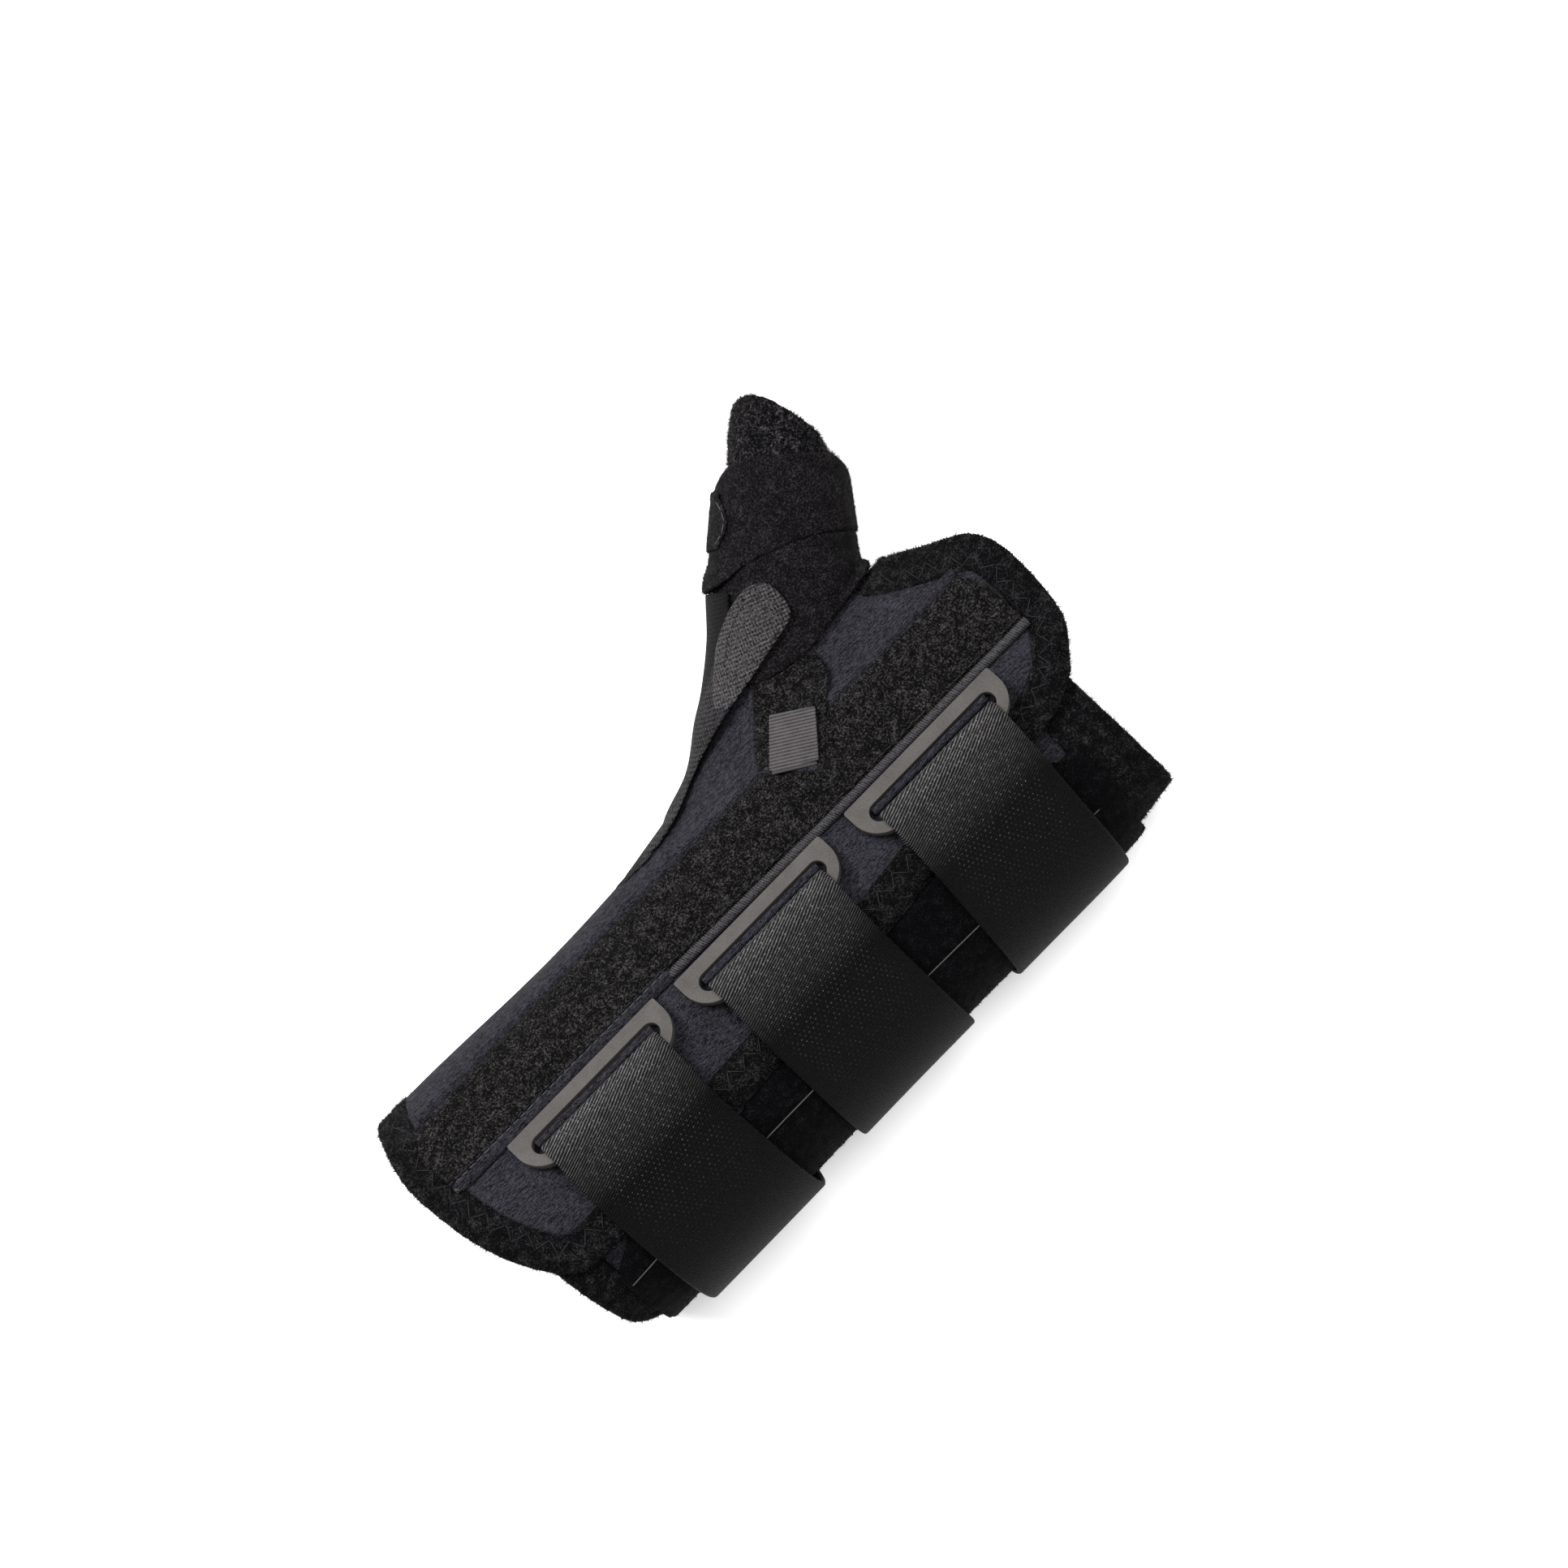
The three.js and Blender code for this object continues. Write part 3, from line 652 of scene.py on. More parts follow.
fleece = napped(
    "black_fleece", (0.45, 4.0, 0.8), (2.4, 2.0), (1.1, 2.4, 0.9, -0.05), (4, 4, 5), (80, 77, 79), 0.4,
)
# The cuff's fleece has bigger, stronger curls and more light fibre tips, more painted highlight, than the
# binding's fleece
cuff_fleece = napped(
    "cuff_fleece", (0.6, 4.0, 0.8), (1.8, 2.0), (1.3, 3.4, 1.2, -0.1), (4, 4, 5), (94, 90, 93), 0.4,
)
OVERLAP = 0.6


def binding(name, node, cut, outline, cuts, kept, rise=no_rise, seed=1):
    """The strip of fleece inside an outline's edge."""
    inner = prism(outline(BINDING + OVERLAP))
    made = cloth(
        name, -0.2, FLEECE_DEPTH, [prism(outline(0), *cuts), wrap_side, *kept], [inner],
        rise=rise, voxel=0.7, rounding=5,
    )
    ruffle(made, 1.6, 0.5)
    dorsal = rise is lap_rise
    under = "dorsal_laminate" if dorsal else "palmar_laminate"
    density = 4.5 if dorsal else 2.6
    look = (fleece, "fleece")
    return furred(made, look, node, cut, under, wrap_core, density, 1.1, comb=(0, 0, 0.2), seed=seed)


dorsal_fleece = binding(
    "dorsal_fleece", "dorsal_binding", (12, 325, "folded"), dorsal_outline, (SEAM_HEIGHT + GAP / 2,), (),
    lap_rise, 11,
)
palm_low = block(-LENGTH, LENGTH, -WIDE, WIDE, -HIGH, SEAM_HEIGHT - GAP / 2)
palm_region = boolean(block(-LENGTH, LENGTH, -WIDE, 0), palm_low, "UNION")
discard(palm_low)
hand_half = block(0, LENGTH, -WIDE, WIDE)
forearm_half = block(-LENGTH, 0, -WIDE, WIDE)
for end, half, width, seed in (("hand", hand_half, 16, 12), ("forearm", forearm_half, 12, 13)):
    binding(
        f"palmar_fleece_{end}", f"palmar_binding_{end}", (width, 165, "folded"), palm_outline, (),
        (palm_region, half), seed=seed,
    )


def reach_of(line):
    """How far along a line each of its points is."""
    return np.concatenate([[0], np.cumsum(np.linalg.norm(np.diff(line, axis=0), axis=1))])


def spaced(line, count):
    """A line as a given number of evenly spaced points, and how far along each is."""
    reach = reach_of(line)
    places = np.linspace(0, reach[-1], count)
    return np.stack([np.interp(places, reach, line[:, i]) for i in range(line.shape[1])], 1), places


def along_line(line, spacing):
    """Points spaced evenly along a line, and how far along each is."""
    return spaced(line, max(int(reach_of(line)[-1] / spacing), 2))


def trees_of(carriers):
    graph = bpy.context.evaluated_depsgraph_get()
    return [BVHTree.FromObject(carrier, graph) for carrier in carriers]


def heights_over(trees, flat):
    """Height of the highest carrier under each place seen from above, or nan."""
    heights = []
    for x, y in flat:
        hits = [tree.ray_cast(Vector((x * MM, y * MM, 0.2)), Vector((0, 0, -1)))[0] for tree in trees]
        heights.append(max((hit.z / MM for hit in hits if hit), default=math.nan))
    return np.array(heights)


def tube(path, across_radius, up_radius, sides=12, swell=None):
    """Rings of a tube along a path, flattened or raised, for loft."""
    run = unit(np.gradient(path, axis=0))
    side = unit(np.cross(run, (0, 0, 1)))
    top = np.cross(side, run)
    turn = np.arange(sides) * 2 * math.pi / sides
    size = np.ones(len(path)) if swell is None else swell
    right = side[:, None] * (across_radius * np.cos(turn))[None, :, None]
    high = top[:, None] * (up_radius * np.sin(turn))[None, :, None]
    return path[:, None] + (right + high) * size[:, None, None]


def cord(name, path, across_radius, up_radius, sides=12, swell=None):
    """A smooth round strip along a path."""
    made = loft(name, tube(path, across_radius, up_radius, sides, swell))
    made.data.shade_smooth()
    return made


def evened(values, reach):
    """Values averaged with the given number of neighbours on each side."""
    window = 2 * reach + 1
    return np.convolve(np.pad(values, reach, "edge"), np.full(window, 1 / window), "valid")


def joined(name, parts):
    """One mesh from several closed lofts."""
    points, triangles, first = [], [], 0
    for rings in parts:
        rows, count = rings.shape[:2]
        i, j = np.meshgrid(np.arange(rows - 1), np.arange(count), indexing="ij")
        a, b = i * count + j, i * count + (j + 1) % count
        c, d = a + count, b + count
        sides = np.stack([a, b, d, a, d, c], -1).reshape(-1, 3)
        fan = np.arange(1, count - 1)
        low = np.stack([np.zeros_like(fan), fan + 1, fan], -1)
        top = (rows - 1) * count + np.stack([np.zeros_like(fan), fan, fan + 1], -1)
        points.append(rings.reshape(-1, 3))
        triangles.append(first + np.vstack([sides, low, top]))
        first += rows * count
    return linked(name, solid_from(name, np.vstack(points), np.vstack(triangles)))


def stitches(name, thread, line, carriers, stitch, space=0.5, zigzag=0.0, thickness=0.17, lift=0.16):
    """A row of thread stitches laid over the carriers along a line seen from above."""
    knots, _ = along_line(np.asarray(line, float), stitch + space)
    run = unit(np.gradient(knots, axis=0))
    side = np.column_stack([-run[:, 1], run[:, 0]])
    knots = knots + side * (zigzag / 2 * (-1.0) ** np.arange(len(knots)))[:, None]
    share = np.linspace(0, stitch / (stitch + space), 5)
    trees = trees_of(carriers)
    parts = []
    for start, end in zip(knots[:-1], knots[1:]):
        flat = start + (end - start) * share[:, None]
        heights = heights_over(trees, flat)
        if np.isnan(heights).any():
            continue
        arch = heights + lift * np.sin(np.linspace(0.1, math.pi - 0.1, 5)) - 0.05
        parts.append(tube(np.column_stack([flat, arch]), thickness, thickness, 5))
    dress(joined(name, parts), thread, "grosgrain")


cuff_edge = smooth(thumb_plan([
    (0.9, -0.4), (0.93, 0.4), (0.955, 0.45), (0.978, 0.488), (1.0, 0.57), (1.003, 0.67), (0.989, 0.79),
    (0.962, 0.932), (0.918, 1.118), (0.862, 1.26), (0.85, 1.8),
]))
cuff = cloth(
    "thumb_fleece", -0.2, FLEECE_DEPTH + 0.2,
    [prism([*thumb_plan([(0.75, 1.8), (0.75, -0.4)]), *shifted(cuff_edge, -0.8)]), thumb_side],
    voxel=0.6, rounding=5,
)
ruffle(cuff, 1.6, 0.6)
furred(
    cuff, (cuff_fleece, "fleece"), "thumb_cuff", (24, 85, "folded"), "thumb_laminate", thumb_core, 4.5, 1.3,
    comb=(*(0.4 * THUMB_AXIS), 0), seed=14,
)


def thread_of(name, dark, light):
    """Twisted sewing thread."""

    def paint(start):
        twist = grain(place(start), 0.25)
        return mixed(twist, linear(*dark), linear(*light)), 0.7, twist, 0.03

    return finish(name, paint)


pale_thread = thread_of("pale_thread", (26, 25, 26), (86, 84, 85))
dark_thread = thread_of("dark_thread", (12, 11, 12), (52, 50, 52))
zigzag_line = shifted(dorsal_edge, BINDING - 2.6)
stitches(
    "binding_zigzag", dark_thread, zigzag_line, [dorsal_fleece], stitch=2.6, space=0.1, zigzag=3.2,
    thickness=0.12, lift=0.3,
)
inner_line = shifted(dorsal_edge, BINDING + 0.9)
stitches("binding_edge_row", dark_thread, inner_line, [dorsal_panel], stitch=1.7, space=0.6, lift=0.2)

# Stay sleeve and piping
# A strip of loop pile covers the metal stay down the back of the hand. It is sewn to the laminate along a
# low welt on its thumb side and a shiny corded piping on its other side.

PILE_DEPTH = 2.0
PIPING_WIDTH = 2.2

piping_curve = smooth(wrap_plan([
    (-0.462, 0.214), (-0.12, 0.207), (0.15, 0.193), (0.36, 0.188), (0.456, 0.187),
]))
stay_top = wrap_plan([(0.452, 0.34), (0.44, 0.425), (-0.466, 0.425)])
patch_outline = wrap_plan([
    (0.172, 0.74), (0.18, 0.625), (0.116, 0.444), (0.173, 0.305), (0.257, 0.506), (0.272, 0.74),
])
patch_hole = prism(shifted(patch_outline, -0.2))
stay = cloth(
    "stay_pile", WALL, PILE_DEPTH + 0.3,
    [prism([*shifted(piping_curve, -0.5 * PIPING_WIDTH), *stay_top], SEAM_HEIGHT)], [patch_hole],
    rise=lap_rise, voxel=0.7, rounding=4,
)
pile = napped(
    "loop_pile", (0.5, 4.0, 0.8), (2.2, 3.0), (1.1, 2.8, 0.8, -0.02), (4, 4, 4), (94, 90, 92), 0.4,
)
ruffle(stay, 1.3, 0.6)
furred(
    stay, (pile, "pile"), "stay_sleeve", (17.5, 188, "laid"), "dorsal_laminate", wrap_core, 4.5, 0.8,
    lean=1.6, seed=21,
)
welt_plan, _ = along_line(wrap_plan([(0.437, 0.437), (0.2, 0.437), (-0.2, 0.437), (-0.462, 0.437)]), 1.5)
welt_height = heights_over(trees_of([dorsal_panel]), welt_plan)
welt = cord("stay_welt", np.column_stack([welt_plan, welt_height + 0.5]), 1.6, 1.2, 14)
dress(welt, laminate, "laminate")
row_line = shifted(piping_curve, -PIPING_WIDTH / 2 - 1.0)
stitches("stay_row", dark_thread, row_line, [stay], stitch=1.5, space=0.7, lift=0.45)


def angle_at(x, y, offset):
    """Angle at which the wrap's surface passes over a place seen from above."""
    low, top = 0.0, math.pi
    for _ in range(40):
        middle = (low + top) / 2
        if wrap_point(x, middle, offset)[1] > y:
            low = middle
        else:
            top = middle
    return low


def flap_height(x, y):
    """Height of the dorsal laminate's top at a place seen from above."""
    lift = float(lap_rise(np.array([x, y, HIGH])))
    return wrap_point(x, angle_at(x, y, WALL + lift), WALL + lift)[2]


PIPING_RIB = 0.9
piping_plan, piping_places = along_line(piping_curve, 0.25)
coarse = np.array([flap_height(x, y) for x, y in piping_plan[::20]])
piping_heights = np.interp(np.arange(len(piping_plan)), np.arange(len(piping_plan))[::20], coarse)
open_share = smoothstep(piping_plan[:, 0], -26, -22)
piping_path = np.column_stack([piping_plan, piping_heights + 0.6 + 0.55 * open_share])
ribs = (1 + 0.06 * np.sin(piping_places * 2 * math.pi / PIPING_RIB)) * (0.7 + 0.3 * open_share)
piping = cord("corded_piping", piping_path, 1.3, 1.25, swell=ribs)


def wave(here, direction, pitch):
    """Ribs from -1 to 1 that cross the given direction, pitch millimetres apart."""
    direction = tuple(2 * math.pi / pitch * part for part in unit(np.array(direction, float)))
    reach = here.along(direction)
    return reach.maths("SINE", reach)


def piping_paint(start):
    here = place(start)
    fuzz = grain(here, 0.4, 3.0, 0.7)
    twist = wave(here, (1, 0.3, 0), PIPING_RIB / 1.5)
    shade = ((fuzz - 0.5) * 2.4 + twist * 0.26 + 0.5).clamped()
    return mixed(shade, linear(8, 8, 9), linear(76, 74, 77)), 0.5, fuzz + twist, 0.16


dress(piping, finish("piping_cord", piping_paint, 0.25), "fleece", "stay_piping")
fold_plan = piping_plan[: np.searchsorted(piping_plan[:, 0], -23)] + (0, 0.45)
fold_heights = piping_heights[: len(fold_plan)] + 0.7
ends = np.clip(np.minimum(np.arange(len(fold_plan)), np.arange(len(fold_plan))[::-1]) / 8, 0.25, 1)
fold = cord("padded_fold", np.column_stack([fold_plan, fold_heights]), 2.1, 1.35, 14, np.sqrt(ends))
ruffle(fold, 5.0, 0.35)
dress(fold, laminate, "laminate")
fold_line = fold_plan[6:-6:4] + (0, 1.0)
stitches("fold_row", pale_thread, fold_line, [fold, stay], stitch=1.6, space=0.7, lift=0.3)

# Pile patch and webbing tab
# Between the thumb band and the stay a patch of the same pile is sewn on, and a short ribbed webbing tab is
# folded and stitched down on it.

spica_lower = smooth(thumb_plan([
    (0.3, -0.6), (0.31, 0.3), (0.329, 0.676), (0.384, 0.986), (0.457, 1.195), (0.554, 1.416),
    (0.61, 1.54), (0.63, 1.6),
]))
band_lower = smooth(thumb_plan([
    (0.53, -0.4), (0.548, 0.28), (0.6, 0.56), (0.636, 0.78), (0.672, 1.07), (0.693, 1.43), (0.7, 1.6),
]))
band_upper = smooth(thumb_plan([
    (0.76, 1.6), (0.79, 1.46), (0.825, 1.39), (0.853, 1.33), (0.87, 1.24), (0.872, 1.12), (0.869, 0.96),
    (0.863, 0.72), (0.855, 0.58), (0.84, 0.46), (0.812, 0.385), (0.78, 0.34), (0.75, 0.2), (0.74, -0.4),
]))
spica_block = prism([*spica_lower, *band_lower[::-1]])
patch = cloth(
    "patch_pile", WALL, PILE_DEPTH + 0.2, [prism(patch_outline, SEAM_HEIGHT)], [spica_block],
    rise=lap_rise, voxel=0.5, rounding=5,
)
ruffle(patch, 1.3, 0.5)
furred(
    patch, (pile, "pile"), "pile_patch", (22, 24, "laid"), "dorsal_laminate", wrap_core, 5, 0.8,
    lean=1.6, seed=31,
)

tab_outline = wrap_plan([(0.172, 0.537), (0.216, 0.456), (0.175, 0.338), (0.126, 0.419)])
tab = cloth(
    "ribbed_tab", WALL + PILE_DEPTH - 0.3, WEBBING + 0.5, [prism(tab_outline, SEAM_HEIGHT)],
    rise=lap_rise, voxel=0.25, rounding=4,
)
TAB_RIB = 0.78
tab_run = unit(tab_outline[2] - tab_outline[3])
tab_points, tab_triangles = mesh_arrays(tab.data)
tab_place = tab_points[:, :2] @ np.array([-tab_run[1], tab_run[0]])
tab_points[:, 2] += 0.09 * np.sin(tab_place * 2 * math.pi / TAB_RIB)
tab.data = solid_from("ribbed_tab", tab_points, tab_triangles)


def tab_paint(start):
    here = place(start)
    fuzz = grain(here, 0.3)
    wear = grain(here, 3.0)
    grooves = wave(here, (-tab_run[1], tab_run[0], 0), TAB_RIB)
    shade = (grooves * 0.28 + fuzz * 0.7 + wear * 0.4 - 0.05).clamped()
    return mixed(shade, linear(16, 15, 16), linear(80, 77, 78)), 0.62, fuzz, 0.08


ribbed = finish("ribbed_webbing", tab_paint)
dress(tab, ribbed, "grosgrain", "webbing_tab")
sheet_of(tab, 12.5, 16.5, "folded", "patch_pile")
hem_plan, _ = along_line(tab_outline[[3, 2]] + np.array([[0.3, -0.5], [-0.6, 0.1]]), 0.5)
hem_height = heights_over(trees_of([patch, stay, dorsal_panel]), hem_plan)
hem_height = np.full(len(hem_plan), hem_height.max())
hem = cord("tab_fold", np.column_stack([hem_plan, hem_height + 0.2]), 0.9, 0.7)
dress(hem, ribbed, "grosgrain")
border_plan, _ = along_line(patch_outline[[1, 2, 3]] + (-0.2, 0.4), 0.7)
border_height = heights_over(trees_of([patch, dorsal_panel]), border_plan)
border = cord("patch_border", np.column_stack([border_plan, evened(border_height, 3) + 0.2]), 0.85, 0.6, 10)
dress(border, laminate, "laminate")
stitches(
    "patch_zigzag", dark_thread, patch_outline[[3, 4]] + (-0.9, 0.3), [patch, stay], stitch=1.9, space=0.1,
    zigzag=1.6, thickness=0.13, lift=0.3,
)

# Ulnar strip
# A wide strip of finer pile is sewn round the little-finger side, and the straps' ends fasten to it.

strip_outline = wrap_plan([
    (-0.408, -0.7), (0.388, -0.7), (0.388, -0.43), (0.398, -0.37), (0.397, -0.18), (0.36, -0.16),
    (0.34, -0.11), (0.243, -0.12), (0, -0.185), (-0.22, -0.22), (-0.36, -0.23), (-0.408, -0.3),
])
strip = cloth(
    "ulnar_pile", WALL, PILE_DEPTH + GAP, [prism(strip_outline, HOLLOW_FLOOR + WALL)],
    voxel=1.3, rounding=4,
)
# The ulnar pile is painted much darker than the stay's pile: partly its own darker tone, partly painted shade
# on the side turned from the light.
strip_pile = napped(
    "ulnar_loop_pile", (0.4, 3.0, 0.7), (2.4, 2.0), (0.7, 1.2, 0.6, -0.04), (1, 1, 2), (50, 51, 54), 0.35,
)
ruffle(strip, 1.6, 0.5)
furred(
    strip, (strip_pile, "pile"), "ulnar_strip", (62, 164, "laid"), "palmar_laminate", wrap_core, 1.0, 0.8,
    width=0.28, lean=1.4, seed=41,
)
edge_line = smooth(wrap_plan([(-0.4, -0.35), (-0.17, -0.329), (0.1, -0.338), (0.36, -0.358)]))
edge_plan, _ = along_line(edge_line, 1.5)
edge_height = heights_over(trees_of([strip]), edge_plan)
edge_tape = cord("strip_edge", np.column_stack([edge_plan, evened(edge_height, 4) + 0.15]), 0.16, 0.25, 6)
dress(edge_tape, pale_thread, "grosgrain")

# Thumb band and spica band
# Two bands of brushed pile go round the thumb. The lower one is wrapped across the thumb's root, and the
# upper one closes the sleeve and ends in a rounded, stitched end on the outer side.

def band_swell(point):
    """The thumb band stands off its sleeve on the outer side, most at its lower edge."""
    flat = point[..., :2] - THUMB_ROOT
    along = flat @ THUMB_AXIS / THUMB_REACH
    outer = 1 - smoothstep(flat @ THUMB_ACROSS / THUMB_WIDTH, 0.42, 0.75)
    return outer * (0.6 + 1.6 * (1 - smoothstep(along, 0.55, 0.64)))


band = cloth(
    "thumb_band_pile", WALL, 1.3 * PILE_DEPTH + 0.3, [prism([*band_lower, *band_upper])],
    rise=band_swell, under=no_rise, voxel=0.75, rounding=7,
)
band_cloth = napped(
    "brushed_band", (0.5, 3.0, 0.75), (3.2, 2.0), (0.9, 2.0, 0.5, 0.03), (6, 5, 6), (66, 63, 66), 0.3, 0.6,
)
ruffle(band, 2.6, 0.5)
band_look = (band_cloth, "pile")
furred(
    band, band_look, "thumb_band", (28, 96, "stretched"), "thumb_laminate", thumb_core, 4, 0.9,
    lean=1.6, seed=51,
)
end_outline = smooth(thumb_plan([
    (0.64, -0.2), (0.645, 0.33), (0.66, 0.395), (0.69, 0.445), (0.715, 0.455), (0.745, 0.43), (0.77, 0.39),
    (0.787, 0.34), (0.79, -0.2),
]))
band_end = cloth(
    "thumb_band_end", WALL + 1.3 * PILE_DEPTH, 1.1, [prism(end_outline, HOLLOW_FLOOR + 2 * WALL)],
    rise=band_swell, voxel=0.5, rounding=3,
)
ruffle(band_end, 2.6, 0.3)
furred(
    band_end, band_look, None, (14.5, 20, "laid"), "thumb_band_pile", thumb_core, 4, 0.7,
    lean=1.8, seed=53,
)
band_row_line = smooth(thumb_plan([
    (0.66, 0.365), (0.69, 0.42), (0.715, 0.43), (0.74, 0.405), (0.765, 0.36),
]))
stitches("band_end_row", pale_thread, band_row_line, [band_end, band], stitch=1.5, lift=0.35)
spica = cloth(
    "spica_band_pile", WALL, PILE_DEPTH + GAP, [prism([*spica_lower, *shifted(band_lower, -0.4)[::-1]])],
    [prism(thumb_plan([(0.5, 1.52), (0.9, 1.52), (0.9, 2), (0.5, 2)]))], voxel=0.8, rounding=5,
)
ruffle(spica, 2.6, 0.5)
furred(
    spica, band_look, "spica_band", (26, 110, "stretched"), "thumb_laminate", thumb_core, 3.2, 0.9,
    width=0.24, lean=1.6, seed=52,
)

# Radial strap and hook tab
# A narrow elastic strap runs down the radial edge from the thumb's root. Its round end is a tab of grey hook
# weave that presses onto the spica band.

CLIMB_START = 0.1
CLIMB_END = 0.26


def spica_rise(point):
    """The strap climbs onto the spica band along the thumb's axis, and thins out at its other end."""
    along = (point[..., :2] - THUMB_ROOT) @ THUMB_AXIS / THUMB_REACH
    thinned = (WEBBING - 0.3) * (1 - smoothstep(along, -0.12, 0.05))
    thinned += 0.5 * (1 - smoothstep(along, -0.16, -0.06))
    return (PILE_DEPTH + GAP) * smoothstep(along, CLIMB_START, CLIMB_END) - thinned


radial_inner = smooth(thumb_plan([
    (0.545, 0.46), (0.475, 0.47), (0.42, 0.45), (0.36, 0.52), (0.33, 0.56), (0.3, 0.53), (0.258, 0.44),
    (0.203, 0.33), (0.148, 0.235), (0.1, 0.165), (0.008, 0.035), (-0.076, -0.15), (-0.14, -0.34),
]))
radial_outer = thumb_plan([(-0.16, -0.5), (0.1, -0.9), (0.545, -0.5)])
radial_floor = HOLLOW_FLOOR + THUMB_LIFT
radial = cloth(
    "radial_elastic", WALL - 0.4, WEBBING + 0.7, [prism([*radial_inner, *radial_outer], radial_floor)],
    rise=spica_rise, under=no_rise, voxel=0.6, rounding=3,
)
hook_outline = smooth(thumb_plan([
    (0.262, 0.445), (0.313, 0.563), (0.351, 0.651), (0.417, 0.791), (0.455, 0.875), (0.483, 0.922),
    (0.51, 0.905), (0.54, 0.84), (0.56, 0.76), (0.562, 0.67), (0.549, 0.58), (0.52, 0.5),
    (0.488, 0.441), (0.428, 0.37), (0.373, 0.344), (0.3, 0.33), (0.262, 0.33),
]))


def hook_rise(point):
    """The hook tab stands a little higher than the strap at its round end, and level with it at the other."""
    along = (point[..., :2] - THUMB_ROOT) @ THUMB_AXIS / THUMB_REACH
    return spica_rise(point) - 0.6 * (1 - smoothstep(along, 0.27, 0.42))


hook = cloth(
    "hook_weave_tab", WALL, WEBBING + 0.9, [prism(hook_outline, radial_floor)],
    rise=hook_rise, under=no_rise, voxel=0.5, rounding=4,
)


def weave_shade(here):
    fuzz = grain(here, 0.55, 4.0, 0.8)
    ribs_up = wave(here, (0.35, 0.94, 0.1), 0.95)
    ribs_across = wave(here, (0.9, -0.3, 0.3), 0.8)
    return (fuzz - 0.5) * 3.8 + ribs_up * 0.16 + ribs_across * 0.12 + 0.38, fuzz + ribs_up + ribs_across


def hook_paint(start):
    shade, height = weave_shade(place(start))
    return mixed(shade.clamped(), linear(8, 8, 8), linear(82, 79, 81)), 0.72, height, 0.12


def radial_paint(start):
    """The strap is painted dark over its outer side beside the hook tab."""
    here = place(start)
    shade, height = weave_shade(here)
    slant = THUMB_ACROSS - 0.38 * THUMB_AXIS
    beside = here.along((*slant, 0))
    edge = float(slant @ thumb_plan([(0.373, 0.36)])[0])
    dark = ((edge - beside) * 0.9).clamped()
    colour = mixed(shade.clamped(), linear(4, 4, 4), linear(58, 56, 58))
    return mixed(dark * 0.95, colour, linear(13, 12, 13)), 0.85, height, 0.12


dress(radial, finish("radial_elastic_weave", radial_paint), "elastic", "radial_strap")
sheet_of(radial, 30, 75, "stretched", "thumb_laminate")
dress(hook, finish("grey_hook_weave", hook_paint), "hook_weave", "hook_tab")
sheet_of(hook, 23, 40, "laid", "spica_band_pile")
hook_row_line = smooth(thumb_plan([
    (0.37, 0.42), (0.43, 0.45), (0.49, 0.52), (0.52, 0.6), (0.53, 0.7), (0.51, 0.83), (0.47, 0.86),
    (0.42, 0.76),
]))
stitches("hook_row", dark_thread, hook_row_line, [hook], stitch=1.5, space=0.6, lift=0.25)

# Strap rings
# Three flat moulded plastic rings are held by their long upper bar under the piping. The straps turn back
# round the lower bar through the slot.

RING_LENGTH = 48.5
RING_WIDTH = 12.0
RING_THICKNESS = 2.4
RING_BAR = 3.5
SLOT_LENGTH = 41.0
SLOT_WIDTH = 4.9
RING_CORNER = 8.0
RING_SHARP_CORNER = 0.6
RING_RIM = 0.45
piping_across = column_curve(
    np.array([(-0.455, 0.214), (-0.12, 0.207), (0.15, 0.193), (0.36, 0.188), (0.442, 0.187)]), 1,
)


def ring_frame(middle, top):
    """Matrix from a ring's own frame, x along the upper bar and z off the hand, in millimetres."""
    half = RING_LENGTH / 2

    def needed(x, y):
        return flap_height(middle + x, top + y) + GAP + (WEBBING + GAP if y < -RING_WIDTH / 2 else 0)

    corners = [needed(x, y) for y in (0, -RING_WIDTH) for x in (-half, half)]
    slope_x = (corners[1] + corners[3] - corners[0] - corners[2]) / 2 / RING_LENGTH
    slope_y = (corners[0] + corners[1] - corners[2] - corners[3]) / 2 / RING_WIDTH
    lift = max(
        needed(x, y) - slope_x * x - slope_y * y
        for x in np.linspace(-half, half, 9)
        for y in np.linspace(-RING_WIDTH, 0, 7)
    )
    right = unit(np.array([1, 0, slope_x]))
    off = unit(np.array([-slope_x, -slope_y, 1]))
    return np.column_stack([right, np.cross(off, right), off]), np.array([middle, top, lift])


def arc(centre, radius, start, end, steps=14):
    """Points on a circle between two angles in degrees."""
    turn = np.radians(np.linspace(start, end, steps))
    return np.array(centre) + radius * np.column_stack([np.cos(turn), np.sin(turn)])


def placed(points, pose):
    """Points of a ring's own frame, in the splint's frame."""
    return points @ pose[0].T + pose[1]


